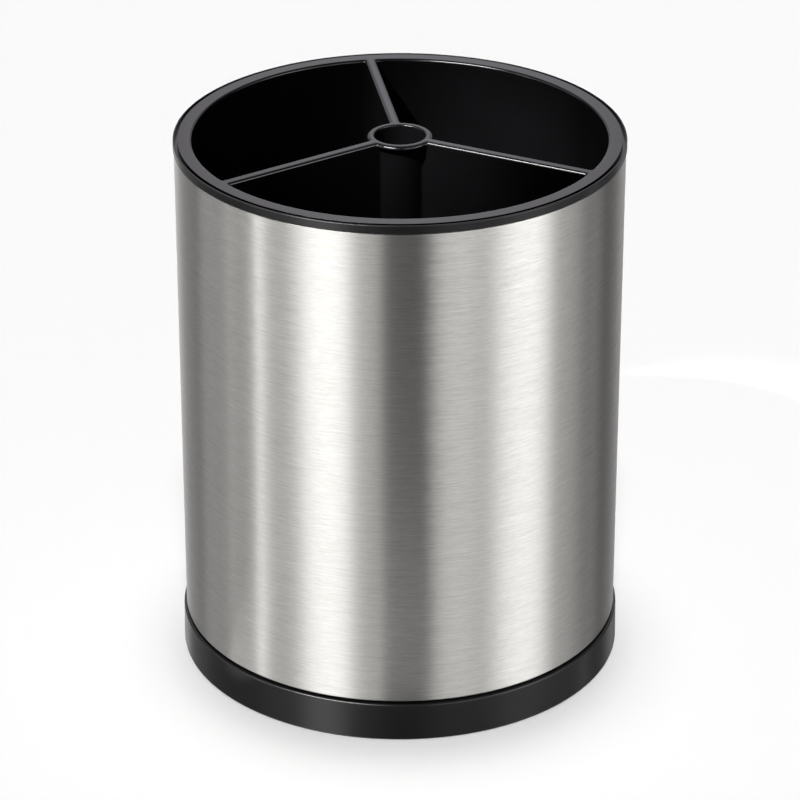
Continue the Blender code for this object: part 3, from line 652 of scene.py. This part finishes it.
ball_bm = bmesh.new()
bmesh.ops.create_uvsphere(ball_bm, u_segments=BALL_SEGMENTS, v_segments=BALL_RINGS, radius=BALL_RADIUS)
bmesh.ops.translate(ball_bm, vec=(0, 0, ball_height), verts=ball_bm.verts)
balls = kept(ball_bm, "bearing_balls")
balls.data.shade_smooth()
dress(round_axis(balls, bearing_steel, *ball_places), bearing_steel)
hand_over(balls, "cage", "plain_steel", *["bearing_ball_{:02d}".format(n + 1) for n in range(BALL_COUNT)])

nylon = moulded_plastic("moulded_nylon", NYLON_BLACKS, NYLON_SHEEN, NYLON_GRAIN_DEPTH)
cage_low, cage_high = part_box("ball_cage")
cage_inner = pitch_radius - CAGE_WIDTH / 2
cage_outer = pitch_radius + CAGE_WIDTH / 2
cage = turned("ball_ring", [
    (cage_inner, cage_low.z), (cage_outer, cage_low.z), (cage_outer, cage_high.z), (cage_inner, cage_high.z),
], nylon)
window = rod(pocket_radius, cage_low.z - OVERRUN, cage_high.z + OVERRUN)
work_round(cage, "DIFFERENCE", window, nylon, ball_places)
dress(smoothed(cage), nylon)
hand_over(cage, "cage", "black_trim", "ball_cage")


# Drum floor. A black ABS moulding pressed into the shell: a ribbed plate with a skirt up inside the
# steel, the seat of the upper race below, and the spigot that turns in the deck's bore.

FLOOR_THICKNESS = 0.0022
FLOOR_SKIRT_HEIGHT = 0.0080
FLOOR_SKIRT_WALL = 0.0018
FLOOR_HEEL_RADIUS = 0.0006
FLOOR_RIB_HEIGHT = 0.0030
FLOOR_RIB_THICKNESS = 0.0016
FLOOR_RIBS = 6
SPIGOT_RADIUS = 0.0070
SPIGOT_BORE_RADIUS = 0.0023
SPIGOT_BORE_DEPTH = 0.0083
SPIGOT_EDGE_RADIUS = 0.0004

plate_low, plate_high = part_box("drum_floor")
floor_radius = plate_high.x
skirt_top = plate_high.z
floor_top = skirt_top - FLOOR_SKIRT_HEIGHT
floor_bottom = floor_top - FLOOR_THICKNESS
rib_top = floor_top + FLOOR_RIB_HEIGHT
spigot_bottom = plate_low.z
skirt_inner = floor_radius - FLOOR_SKIRT_WALL
upper_seat = floor_bottom + RACE_SEAT_DEPTH

drum_floor = turned("floor_plate", eased([
    (0, spigot_bottom + SPIGOT_BORE_DEPTH, 0),
    (SPIGOT_BORE_RADIUS, spigot_bottom + SPIGOT_BORE_DEPTH, 0),
    (SPIGOT_BORE_RADIUS, spigot_bottom, 0),
    (SPIGOT_RADIUS, spigot_bottom, SPIGOT_EDGE_RADIUS),
    (SPIGOT_RADIUS, floor_bottom, 0),
    (seat_inner, floor_bottom, 0),
    (seat_inner, upper_seat, 0),
    (seat_outer, upper_seat, 0),
    (seat_outer, floor_bottom, 0),
    (floor_radius, floor_bottom, FLOOR_HEEL_RADIUS),
    (floor_radius, skirt_top, 0),
    (skirt_inner, skirt_top, 0),
    (skirt_inner, floor_top, FLOOR_HEEL_RADIUS),
    (SPIGOT_RADIUS, floor_top, 0),
    (SPIGOT_RADIUS, rib_top, 0),
    (0, rib_top, 0),
]), satin_abs)
rib_length = skirt_inner + FLOOR_SKIRT_WALL / 2 - SPIGOT_RADIUS / 2
rib_foot = floor_top - FLOOR_THICKNESS / 2
rib_bm = bmesh.new()
bmesh.ops.create_cube(rib_bm, size=1)
bmesh.ops.scale(rib_bm, vec=(rib_length, FLOOR_RIB_THICKNESS, rib_top - rib_foot), verts=rib_bm.verts)
bmesh.ops.translate(rib_bm, vec=(0, 0, (rib_top + rib_foot) / 2), verts=rib_bm.verts)
ribs = kept(rib_bm, "ribs")
round_axis(ribs, satin_abs, FLOOR_RIBS, SPIGOT_RADIUS / 2 + rib_length / 2, 0.0)
join_or_cut(drum_floor, ribs, "UNION")
dress(smoothed(drum_floor), satin_abs)
hand_over(drum_floor, "drum", "black_trim", "drum_floor")


# Pivot. A large plated washer under the deck and a pan head screw up into the spigot hold the drum
# down on its bearing.

WASHER_EDGE_RADIUS = 0.0002
PIVOT_SCREW_RADIUS = 0.0020
PIVOT_HEAD_RADIUS = 0.0038
PIVOT_HEAD_HEIGHT = 0.0022
PIVOT_HEAD_EDGE_RADIUS = 0.0008
PIVOT_RECESS_REACH = 0.0022
PIVOT_RECESS_HALF_SLOT = 0.00045
PIVOT_RECESS_DEPTH = 0.0015

washer_low, washer_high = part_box("pivot_washer")
washer_bore = PIVOT_SCREW_RADIUS + FIT_GAP
washer = turned("large_washer", eased([
    (washer_bore, washer_low.z, WASHER_EDGE_RADIUS),
    (washer_high.x, washer_low.z, WASHER_EDGE_RADIUS),
    (washer_high.x, washer_high.z, WASHER_EDGE_RADIUS),
    (washer_bore, washer_high.z, WASHER_EDGE_RADIUS),
]), plated_steel, BORE_SEGMENTS)
hand_over(smoothed(washer), "drum", "plain_steel", "pivot_washer")

pivot_low, pivot_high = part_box("pivot_screw")
head_top = pivot_low.z + PIVOT_HEAD_HEIGHT
pivot = turned("pan_head_screw", eased([
    (0, pivot_low.z, 0),
    (PIVOT_HEAD_RADIUS, pivot_low.z, PIVOT_HEAD_EDGE_RADIUS),
    (PIVOT_HEAD_RADIUS, head_top, 0),
    (PIVOT_SCREW_RADIUS, head_top, 0),
    (PIVOT_SCREW_RADIUS, pivot_high.z, 0),
    (0, pivot_high.z, 0),
]), plated_steel, BORE_SEGMENTS)
pivot_recess = cross_recess(pivot_low.z, PIVOT_RECESS_REACH, PIVOT_RECESS_HALF_SLOT, PIVOT_RECESS_DEPTH)
join_or_cut(pivot, pivot_recess, "DIFFERENCE")
dress(smoothed(pivot), plated_steel)
hand_over(pivot, "drum", "plain_steel", "pivot_screw")


# Drum shell. Stainless sheet rolled and welded into a tube, its lower edge turned in under the floor,
# then belt brushed round and round while it turns. The grooves run level round the drum, so that they
# smear every reflection up and down into plain vertical bands.

SHELL_THICKNESS = 0.0006
SHELL_TOP_EASE = 0.00025
SHELL_BOTTOM_ROLL = 0.0007
SHELL_FLANGE_WIDTH = 0.0040
STEEL_GREYS = ("c4c2be", "dbdad7")
STEEL_SHEEN = (0.38, 0.32)
# Length and height of the long scratches and of the fine ones, how far they tip the surface, and where
# the sum of their two noises lies.
SCRATCHES = ((0.0100, 0.00034), (0.0030, 0.00016))
SCRATCH_SWAY = 0.018
SCRATCH_SPAN = (0.7, 1.3)
GROOVES_LEVEL = 0.25


def brushed_stainless():
    """Stainless brushed with a belt: level scratches of two sizes in its colour, shine and relief."""
    material, tree, place = new_material("belt_brushed_stainless")
    long, fine = [drawn_marks(tree, place, (length, length, height), detail=2.0) for length, height in SCRATCHES]
    both = add_node(tree, "ShaderNodeMath", {0: long, 1: fine}, operation="ADD").outputs[0]
    marks = add_node(tree, "ShaderNodeMapRange", {
        "Value": both, "From Min": SCRATCH_SPAN[0], "From Max": SCRATCH_SPAN[1],
    }).outputs["Result"]
    sway = add_node(tree, "ShaderNodeMapRange", {
        "Value": both, "From Min": SCRATCH_SPAN[0], "From Max": SCRATCH_SPAN[1],
        "To Min": -SCRATCH_SWAY / 2, "To Max": SCRATCH_SWAY / 2,
    })
    grooves = add_node(tree, "ShaderNodeTangent", direction_type="RADIAL", axis="Z").outputs["Tangent"]
    aside = add_node(tree, "ShaderNodeVectorMath", {
        0: grooves, "Scale": sway.outputs["Result"],
    }, operation="SCALE")
    surface = add_node(tree, "ShaderNodeNewGeometry").outputs["Normal"]
    tipped = add_node(tree, "ShaderNodeVectorMath", {0: surface, 1: aside.outputs[0]}, operation="ADD")
    relief = add_node(tree, "ShaderNodeVectorMath", {0: tipped.outputs[0]}, operation="NORMALIZE")
    finish(tree, marks, STEEL_GREYS, marks, STEEL_SHEEN, {
        "Metallic": 1.0, "Normal": relief.outputs[0],
        "Anisotropic": 1.0, "Anisotropic Rotation": GROOVES_LEVEL, "Tangent": grooves,
    })
    return material


shell_low, shell_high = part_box("drum_shell")
drum_radius = shell_high.x
shell = turned("steel_drum", eased([
    (drum_radius, shell_low.z, SHELL_BOTTOM_ROLL),
    (drum_radius, shell_high.z, SHELL_TOP_EASE),
    (drum_radius - SHELL_THICKNESS, shell_high.z, SHELL_TOP_EASE),
    (drum_radius - SHELL_THICKNESS, shell_low.z + SHELL_THICKNESS, SHELL_BOTTOM_ROLL - SHELL_THICKNESS),
    (drum_radius - SHELL_FLANGE_WIDTH, shell_low.z + SHELL_THICKNESS, 0),
    (drum_radius - SHELL_FLANGE_WIDTH, shell_low.z, 0),
]), brushed_stainless())
hand_over(smoothed(shell), "drum", "brushed_stainless", "drum_shell")


# Top collar. A black ABS ring pushed over the shell's edge: a lip that frames the insert's flange, a
# shelf that carries it and a skirt inside the steel.

COLLAR_BOTTOM_TO_TOP = 0.00247
COLLAR_DROP = 0.0001
COLLAR_LIP_WALL = 0.0005
COLLAR_EDGE_RADIUS = 0.0004
COLLAR_LIP_INNER_EDGE = 0.0001
COLLAR_SKIRT_WALL = 0.0018
FLANGE_THICKNESS = 0.0016
FLANGE_PLAY = 0.0006

collar_low, collar_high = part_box("top_collar")
insert_low, insert_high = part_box("divider_insert")
rim_top = insert_high.z
collar_radius = collar_high.x
collar_top = rim_top - COLLAR_DROP
collar_bottom = collar_high.z - COLLAR_BOTTOM_TO_TOP
lip_bore = collar_radius - COLLAR_LIP_WALL
skirt_radius = drum_radius - SHELL_THICKNESS - FIT_GAP
flange_radius = insert_high.x - FLANGE_PLAY
flange_bottom = rim_top - FLANGE_THICKNESS
shelf = flange_bottom - FIT_GAP
collar = turned("collar_ring", eased([
    (collar_radius, collar_bottom, COLLAR_LIP_INNER_EDGE),
    (collar_radius, collar_top, COLLAR_EDGE_RADIUS),
    (lip_bore, collar_top, COLLAR_LIP_INNER_EDGE),
    (lip_bore, shelf, 0),
    (skirt_radius - COLLAR_SKIRT_WALL, shelf, 0),
    (skirt_radius - COLLAR_SKIRT_WALL, collar_low.z, 0),
    (skirt_radius, collar_low.z, 0),
    (skirt_radius, collar_bottom, 0),
]), satin_abs)
hand_over(smoothed(collar), "drum", "black_trim", "top_collar")


# Divider insert. One semi-gloss black moulding that lifts out for washing: a tapered liner hung from a
# flange, three fins, and a lipped tube in the middle. Its rooms are cut from a turned body.

LINER_DRAFT = 0.0015
LINER_WALL = 0.0021
LINER_FLOOR = 0.0024
LINER_HEEL_RADIUS = 0.0050
RIM_WIDTH = 0.0061
MOUTH_EDGE_RADIUS = 0.0009
FLANGE_EDGE_RADIUS = 0.0001
FIN_TOP_THICKNESS = 0.00366
FIN_FOOT_THICKNESS = 0.0042
FIN_EDGE_RADIUS = 0.0010
POCKET_CORNER_RADIUS = 0.0009
POCKET_FLOOR_RADIUS = 0.0030
TUBE_RADIUS = 0.0094
TUBE_BORE_RADIUS = 0.0087
TUBE_BORE_EDGE_RADIUS = 0.0006
TUBE_LIP_RADIUS = 0.0111
TUBE_LIP_HEIGHT = 0.0012
TUBE_LIP_EDGE_RADIUS = 0.0011
TUBE_LIP_UNDERSIDE = 0.0006
FIN_ANGLES_DEG = (98.5, 215.4, 332.9)
POCKET_WALL_STEPS = 72
POCKET_TUBE_STEPS = 24
POCKET_CORNER_STEPS = 6
POCKET_EDGE_STEPS = 8
INSERT_BLACKS = ("101011", "161517")
GLOSS_SHEEN = (0.155, 0.185)
GLOSS_GRAIN_DEPTH = 0.0000008

liner_mouth = drum_radius - RIM_WIDTH
liner_foot = liner_mouth - LINER_DRAFT
pocket_floor = insert_low.z + LINER_FLOOR


def pocket_outline(start, end, wall, tube, half_fin, corner):
    """Plan of one room: outer wall, two fin faces and the tube, with rounded corners.

    start and end are the angles of the fins' centre planes, wall and tube are radii.
    """
    wall_turn = math.asin((half_fin + corner) / (wall - corner))
    tube_turn = math.asin((half_fin + corner) / (tube + corner))
    quarter = math.pi / 2
    wall_start = start + wall_turn
    wall_end = end - wall_turn
    tube_start = start + tube_turn
    tube_end = end - tube_turn

    def corner_arc(radius, angle, first, last):
        centre_x, centre_y = radius * math.cos(angle), radius * math.sin(angle)
        return arc(centre_x, centre_y, corner, first, last, POCKET_CORNER_STEPS)

    points = corner_arc(wall - corner, wall_start, start - quarter, wall_start)
    points += arc(0, 0, wall, wall_start, wall_end, POCKET_WALL_STEPS)[1:-1]
    points += corner_arc(wall - corner, wall_end, wall_end, end + quarter)
    points += corner_arc(tube + corner, tube_end, end + quarter, tube_end + 2 * quarter)
    points += arc(0, 0, tube, tube_end, tube_start, POCKET_TUBE_STEPS)[1:-1]
    points += corner_arc(tube + corner, tube_start, tube_start + 2 * quarter, start + 3 * quarter)
    return points


def edge_flare(depth, edge):
    """How far a rounded top edge has drawn back from its wall at a depth below the top."""
    if depth >= edge:
        return 0
    return edge - math.sqrt(edge * edge - (edge - depth) ** 2)


def pocket(name, start, end):
    """The room of one compartment, skinned over sections from its floor to above the rim."""
    wall_height = rim_top - pocket_floor
    tube_top = rim_top - TUBE_LIP_HEIGHT - TUBE_LIP_UNDERSIDE
    edge_angles = [math.pi / 2 * step / POCKET_EDGE_STEPS for step in range(POCKET_EDGE_STEPS + 1)]

    def section(height, inset, tube):
        share = (height - pocket_floor) / wall_height
        wall = liner_foot + (liner_mouth - liner_foot) * share
        fin = FIN_FOOT_THICKNESS + (FIN_TOP_THICKNESS - FIN_FOOT_THICKNESS) * share
        depth = rim_top - height
        wall += edge_flare(depth, MOUTH_EDGE_RADIUS) - inset
        half_fin = fin / 2 - edge_flare(depth, FIN_EDGE_RADIUS) + inset
        plan = pocket_outline(start, end, wall, tube + inset, half_fin, POCKET_CORNER_RADIUS)
        return [(x, y, height) for x, y in plan]

    sections = []
    for angle in edge_angles:
        inset = POCKET_FLOOR_RADIUS * (1 - math.sin(angle))
        height = pocket_floor + POCKET_FLOOR_RADIUS * (1 - math.cos(angle))
        sections.append(section(height, inset, TUBE_RADIUS))
    for angle in edge_angles:
        height = tube_top + TUBE_LIP_UNDERSIDE * (1 - math.cos(angle))
        tube = TUBE_RADIUS + (TUBE_LIP_RADIUS - TUBE_RADIUS) * math.sin(angle)
        sections.append(section(height, 0, tube))
    for angle in edge_angles:
        depth = max(FIN_EDGE_RADIUS, TUBE_LIP_EDGE_RADIUS) * (1 - math.sin(angle))
        tube = TUBE_LIP_RADIUS - edge_flare(depth, TUBE_LIP_EDGE_RADIUS)
        sections.append(section(rim_top - depth, 0, tube))
    sections.append([(x, y, rim_top + OVERRUN) for x, y, _ in sections[-1]])
    return skinned(name, sections)


gloss_abs = moulded_plastic("gloss_moulded_abs", INSERT_BLACKS, GLOSS_SHEEN, GLOSS_GRAIN_DEPTH)
insert = turned("divided_insert", eased([
    (0, insert_low.z, 0),
    (liner_foot + LINER_WALL, insert_low.z, LINER_HEEL_RADIUS),
    (liner_mouth + LINER_WALL, flange_bottom, 0),
    (flange_radius, flange_bottom, 0),
    (flange_radius, rim_top, FLANGE_EDGE_RADIUS),
    (0, rim_top, 0),
]), gloss_abs)
fin_angles = [math.radians(angle) for angle in FIN_ANGLES_DEG]
for start, end in zip(fin_angles, [*fin_angles[1:], fin_angles[0] + 2 * math.pi]):
    join_or_cut(insert, pocket("room", start, end), "DIFFERENCE")
bore_mouth = TUBE_BORE_RADIUS + TUBE_BORE_EDGE_RADIUS
tube_bore = turned("tube_bore", [
    (0, pocket_floor), (TUBE_BORE_RADIUS, pocket_floor),
    *arc(bore_mouth, rim_top - TUBE_BORE_EDGE_RADIUS, TUBE_BORE_EDGE_RADIUS, math.pi, math.pi / 2,
         POCKET_EDGE_STEPS),
    (bore_mouth, rim_top + OVERRUN), (0, rim_top + OVERRUN),
], gloss_abs, BORE_SEGMENTS)
join_or_cut(insert, tube_bore, "DIFFERENCE")
dress(smoothed(insert), gloss_abs)
hand_over(insert, "insert", "black_insert", "divider_insert")


# Floor and light. White paper under the holder and white behind it, with soft panels in front and to
# both sides. Gloss mirrors the panels and the dark gaps between them, which give the steel its bands.
# Azimuth counts in degrees from the camera's side towards +X, and a level of 1 is white.

PAPER_RADIUS = 6.0
PAPER_SEGMENTS = 96
PAPER_WHITE = "f4f4f4"
PAPER_LIFT = 0.1215
PAPER_FIBRE = 0.002
PAPER_FIBRE_DEPTH = 0.00001
FILL_LEVEL = 0.10
WATTS_PER_AREA = 4.0
LIGHT_DISTANCE = 1.6
LIGHT_TARGET = Vector((0, 0, 0.10))

# The tent that gloss mirrors: its levels below and above the horizon where there is no panel, the level
# of its ceiling, and the softness, foot and top of its bands.
TENT_GAP_BELOW = 0.13
TENT_GAP_ABOVE = 0.03
TENT_CEILING = 0.10
TENT_EDGE_DEG = 8.0
PANEL_FOOT_DEG = -12.0
PANEL_TOP_DEG = 22.0

# Each panel: azimuth, half width at full level, width of its soft sides, level of its glow from below,
# level of its face.
TENT_PANELS = (
    ("key", -40.0, 2.6, 13.4, 1.48, 0.54),
    ("left_low", -81.0, 8.6, 7.6, 0.06, 0.84),
    ("left_strip", -73.5, 0.5, 3.0, 0.0, 2.57),
    ("left_near", -63.1, 7.4, 5.5, 0.27, 0.92),
    ("left_far", -103.7, 10.3, 4.5, 0.05, 0.62),
    ("front_left", -18.5, 8.2, 3.0, 0.11, 1.17),
    ("right_near", 28.5, 0.5, 17.1, 0.17, 1.83),
    ("right_far", 77.9, 6.0, 25.1, 0.19, 0.83),
    ("right_edge", 61.0, 0.5, 23.5, 0.24, 2.56),
    ("right_back", 113.8, 1.1, 6.1, 0.34, 0.0),
    ("right_behind", 151.5, 4.0, 8.0, 0.27, 0.0),
    ("left_behind", -136.4, 11.9, 8.0, 0.15, 0.05),
    ("back_left", -168.0, 14.0, 7.0, 0.70, 0.0),
    ("back_right", 178.0, 6.0, 10.0, 0.20, 0.0),
)

# The white wall behind, brighter in its middle and higher up. Each part: azimuth, half width, soft
# sides, lowest and highest elevation, level.
WALL_PARTS = (
    (180.0, 30.0, 20.0, -4.0, 60.0, 0.42),
    (180.0, 30.0, 20.0, 26.0, 60.0, 0.30),
    (180.0, 0.0, 5.0, -4.0, 60.0, 0.42),
)
WALL_COLOUR = "fbf7ff"

# Soft boxes: azimuth, elevation, width and height as seen from the drum in degrees, level. The spark is
# a bare flash. It reaches only the black mouldings, where it draws the thin lights along their edges.
KEY_BOX = (-40.5, 33.0, 27.0, 16.0, 7.1)
SPARK = (-41.0, 42.0, 32.0, 8.0, 42.0)

# The lamps that light the paper and the outside: one in front, whose shadow falls behind the holder,
# and two overhead and a little behind it, which leave the soft dark edge in front of the base. Each has
# its azimuth, elevation, width of its disc in degrees, and level on a surface that faces it.
FLOOR_LAMPS = (
    ("front", 0.0, 60.0, 8.0, 1.44),
    ("overhead_wide", 180.0, 86.0, 18.0, 0.98),
    ("overhead_narrow", 180.0, 85.0, 6.0, 0.35),
)

# Lit patches of the paper beside the base, which brighten the foot of the steel: in front for the dark
# middle band, and on the left. Each has its middle, width, depth and level, and faces straight up.
PAPER_GLOWS = (
    ("front", (0.0, -0.150, 0.002), 0.050, 0.090, 0.34),
    ("left", (-0.092, -0.056, 0.002), 0.045, 0.030, 0.27),
)
FACING_UP_DEG = -90.0

# The snoot sends a narrow beam into the holder's mouth, which shows the rooms' walls and the tube.
SNOOT_DIRECTION = (-41.0, 50.0)
SNOOT_TARGET = Vector((0.012, 0.022, 0.185))
SNOOT_DISTANCE = 1.2
SNOOT_BEAM = {"energy": 100.0, "spot_size": math.radians(4.6), "spot_blend": 0.5, "shadow_soft_size": 0.02}


def toward(azimuth_deg, elevation_deg):
    azimuth = math.radians(azimuth_deg)
    elevation = math.radians(elevation_deg)
    return Vector((
        math.sin(azimuth) * math.cos(elevation), -math.cos(azimuth) * math.cos(elevation), math.sin(elevation),
    ))


def lamp(name, kind, direction, target, distance, mirrored, **settings):
    """A lamp that faces its target. Gloss alone sees a mirrored one, and matt faces alone see any other."""
    light = bpy.data.lights.new(name, kind)
    for setting, value in settings.items():
        setattr(light, setting, value)
    obj = new_object(name, light)
    obj.location = target + toward(*direction) * distance
    obj.rotation_euler = toward(*direction).to_track_quat("Z", "Y").to_euler()
    obj.visible_camera = False
    obj.visible_diffuse = not mirrored
    obj.visible_glossy = mirrored
    return obj


def soft_box(name, azimuth, elevation, width_deg, height_deg, level):
    """A rectangular lamp of an even level that gloss mirrors."""
    width = 2 * LIGHT_DISTANCE * math.tan(math.radians(width_deg / 2))
    height = 2 * LIGHT_DISTANCE * math.tan(math.radians(height_deg / 2))
    return lamp(
        name, "AREA", (azimuth, elevation), LIGHT_TARGET, LIGHT_DISTANCE, True, shape="RECTANGLE",
        size=width, size_y=height, energy=WATTS_PER_AREA * width * height * level,
    )


def lit_alone(name, *objects):
    """A group of objects, for a lamp that lights no others."""
    group = bpy.data.collections.new(name)
    for obj in objects:
        group.objects.link(obj)
    return group


for name, middle, width, depth, level in PAPER_GLOWS:
    lamp(
        "paper_glow_" + name, "AREA", (0.0, FACING_UP_DEG), Vector(middle), 0.0, True, shape="ELLIPSE",
        size=width, size_y=depth, energy=WATTS_PER_AREA * math.pi / 4 * width * depth * level,
    )
soft_box("soft_box_key", *KEY_BOX)
lamp("snoot", "SPOT", SNOOT_DIRECTION, SNOOT_TARGET, SNOOT_DISTANCE, False, **SNOOT_BEAM)
spark = soft_box("spark", *SPARK)
spark.light_linking.receiver_collection = lit_alone("black_mouldings", housing, collar, insert)


def studio_world():
    """White to the camera, a tent of soft panels to gloss, and an even fill to everything else."""
    world = bpy.data.worlds.new("studio")
    world.use_nodes = True
    tree = world.node_tree
    tree.nodes.clear()
    ray = add_node(tree, "ShaderNodeLightPath").outputs
    direction = add_node(tree, "ShaderNodeTexCoord").outputs["Generated"]
    height = add_node(tree, "ShaderNodeSeparateXYZ", {"Vector": direction}).outputs["Z"]
    level = add_node(tree, "ShaderNodeVectorMath", {0: direction, 1: (1, 1, 0)}, operation="MULTIPLY")
    facing = add_node(tree, "ShaderNodeVectorMath", {0: level.outputs[0]}, operation="NORMALIZE")

    def soft_edge(value, start, full):
        return add_node(tree, "ShaderNodeMapRange", {
            "Value": value, "From Min": start, "From Max": full,
        }, interpolation_type="SMOOTHSTEP").outputs["Result"]

    def sine(angle):
        return math.sin(math.radians(angle))

    def cosine(angle):
        return math.cos(math.radians(angle))

    def between(lowest, highest):
        return add_node(tree, "ShaderNodeMath", {
            0: soft_edge(height, sine(lowest - TENT_EDGE_DEG), sine(lowest)),
            1: soft_edge(height, sine(highest + TENT_EDGE_DEG), sine(highest)),
        }, operation="MULTIPLY").outputs[0]

    def sector(azimuth, half_width, soft_side):
        match = add_node(tree, "ShaderNodeVectorMath", {
            0: facing.outputs[0], 1: toward(azimuth, 0),
        }, operation="DOT_PRODUCT").outputs["Value"]
        return soft_edge(match, cosine(half_width + soft_side), cosine(half_width))

    levels = (TENT_GAP_BELOW, TENT_GAP_ABOVE, TENT_CEILING)
    for name, azimuth, half_width, soft_side, glow_below, face in TENT_PANELS:
        levels = add_node(tree, "ShaderNodeVectorMath", {
            0: sector(azimuth, half_width, soft_side), 1: (glow_below, face, 0), 2: levels,
        }, operation="MULTIPLY_ADD", label=name).outputs[0]
    bands = add_node(tree, "ShaderNodeCombineXYZ", {
        "X": soft_edge(height, sine(TENT_EDGE_DEG), 0.0), "Y": between(PANEL_FOOT_DEG, PANEL_TOP_DEG),
        "Z": soft_edge(height, sine(PANEL_TOP_DEG), sine(PANEL_TOP_DEG + TENT_EDGE_DEG)),
    })
    tent = add_node(tree, "ShaderNodeVectorMath", {
        0: levels, 1: bands.outputs[0],
    }, operation="DOT_PRODUCT").outputs["Value"]
    for azimuth, half_width, soft_side, lowest, highest, strength in WALL_PARTS:
        shape = add_node(tree, "ShaderNodeMath", {
            0: sector(azimuth, half_width, soft_side), 1: between(lowest, highest),
        }, operation="MULTIPLY")
        lit = add_node(tree, "ShaderNodeMath", {0: shape.outputs[0], 1: strength}, operation="MULTIPLY")
        tent = add_node(tree, "ShaderNodeMix", {
            0: lit.outputs[0], 6: tent, 7: (*linear(WALL_COLOUR), 1),
        }, data_type="RGBA", blend_type="ADD", clamp_factor=False).outputs[2]
    mirror = add_node(tree, "ShaderNodeMath", {
        0: ray["Is Glossy Ray"], 1: ray["Is Transmission Ray"],
    }, operation="MAXIMUM")
    unseen = add_node(tree, "ShaderNodeMix", {
        0: mirror.outputs[0], 6: (*[FILL_LEVEL] * 3, 1), 7: tent,
    }, data_type="RGBA")
    seen = add_node(tree, "ShaderNodeMix", {
        0: ray["Is Camera Ray"], 6: unseen.outputs[2], 7: (1, 1, 1, 1),
    }, data_type="RGBA")
    background = add_node(tree, "ShaderNodeBackground", {"Color": seen.outputs[2], "Strength": 1.0})
    add_node(tree, "ShaderNodeOutputWorld", {"Surface": background.outputs["Background"]})
    return world


def white_sweep():
    """Matt white paper that keeps the holder's shadow. To the camera it glows a little, as paper in a
    bright studio does, so that it meets the white behind it."""
    material, tree, place = new_material("white_paper_sweep")
    fibre = add_node(tree, "ShaderNodeTexNoise", {"Vector": place, "Scale": 1 / PAPER_FIBRE, "Detail": 2.0})
    relief = add_node(tree, "ShaderNodeBump", {
        "Height": fibre.outputs["Fac"], "Distance": PAPER_FIBRE_DEPTH, "Strength": 0.2,
    })
    paper = add_node(tree, "ShaderNodeBsdfDiffuse", {
        "Color": (*linear(PAPER_WHITE), 1), "Normal": relief.outputs["Normal"],
    })
    seen = add_node(tree, "ShaderNodeLightPath").outputs["Is Camera Ray"]
    strength = add_node(tree, "ShaderNodeMath", {0: seen, 1: PAPER_LIFT}, operation="MULTIPLY")
    glow = add_node(tree, "ShaderNodeEmission", {"Color": (1, 1, 1, 1), "Strength": strength.outputs[0]})
    both = add_node(tree, "ShaderNodeAddShader", {0: paper.outputs[0], 1: glow.outputs[0]})
    add_node(tree, "ShaderNodeOutputMaterial", {"Surface": both.outputs[0]})
    return material


bpy.context.scene.world = studio_world()
paper_bm = bmesh.new()
bmesh.ops.create_circle(paper_bm, cap_ends=True, segments=PAPER_SEGMENTS, radius=PAPER_RADIUS)
studio_floor = dress(kept(paper_bm, "studio_floor"), white_sweep())
studio_floor.visible_glossy = False
outside = lit_alone("paper_and_outside", studio_floor, housing, collar)
for name, azimuth, elevation, disc_deg, level in FLOOR_LAMPS:
    floor_lamp = lamp(
        "floor_lamp_" + name, "SUN", (azimuth, elevation), LIGHT_TARGET, LIGHT_DISTANCE, False,
        angle=math.radians(disc_deg), energy=level,
    )
    floor_lamp.light_linking.receiver_collection = outside


# Camera. A long lens, a little over a metre from the drum and looking down on it, as the photograph
# was taken: place and tilt were solved from the ellipses of the rim, the drum and the base.

CAMERA_PLACE = (0.000016, -1.13701, 0.65748)
CAMERA_DOWN_DEG = 26.48275
LENS_MM = 163.847
SENSOR_MM = 36.0

lens = bpy.data.cameras.new("camera")
lens.lens = LENS_MM
lens.sensor_width = SENSOR_MM
camera = new_object("camera", lens)
camera.location = CAMERA_PLACE
camera.rotation_euler = (math.radians(90 - CAMERA_DOWN_DEG), 0, 0)
bpy.context.scene.camera = camera
bpy.context.scene.view_settings.view_transform = "Standard"

bpy.context.view_layer.update()
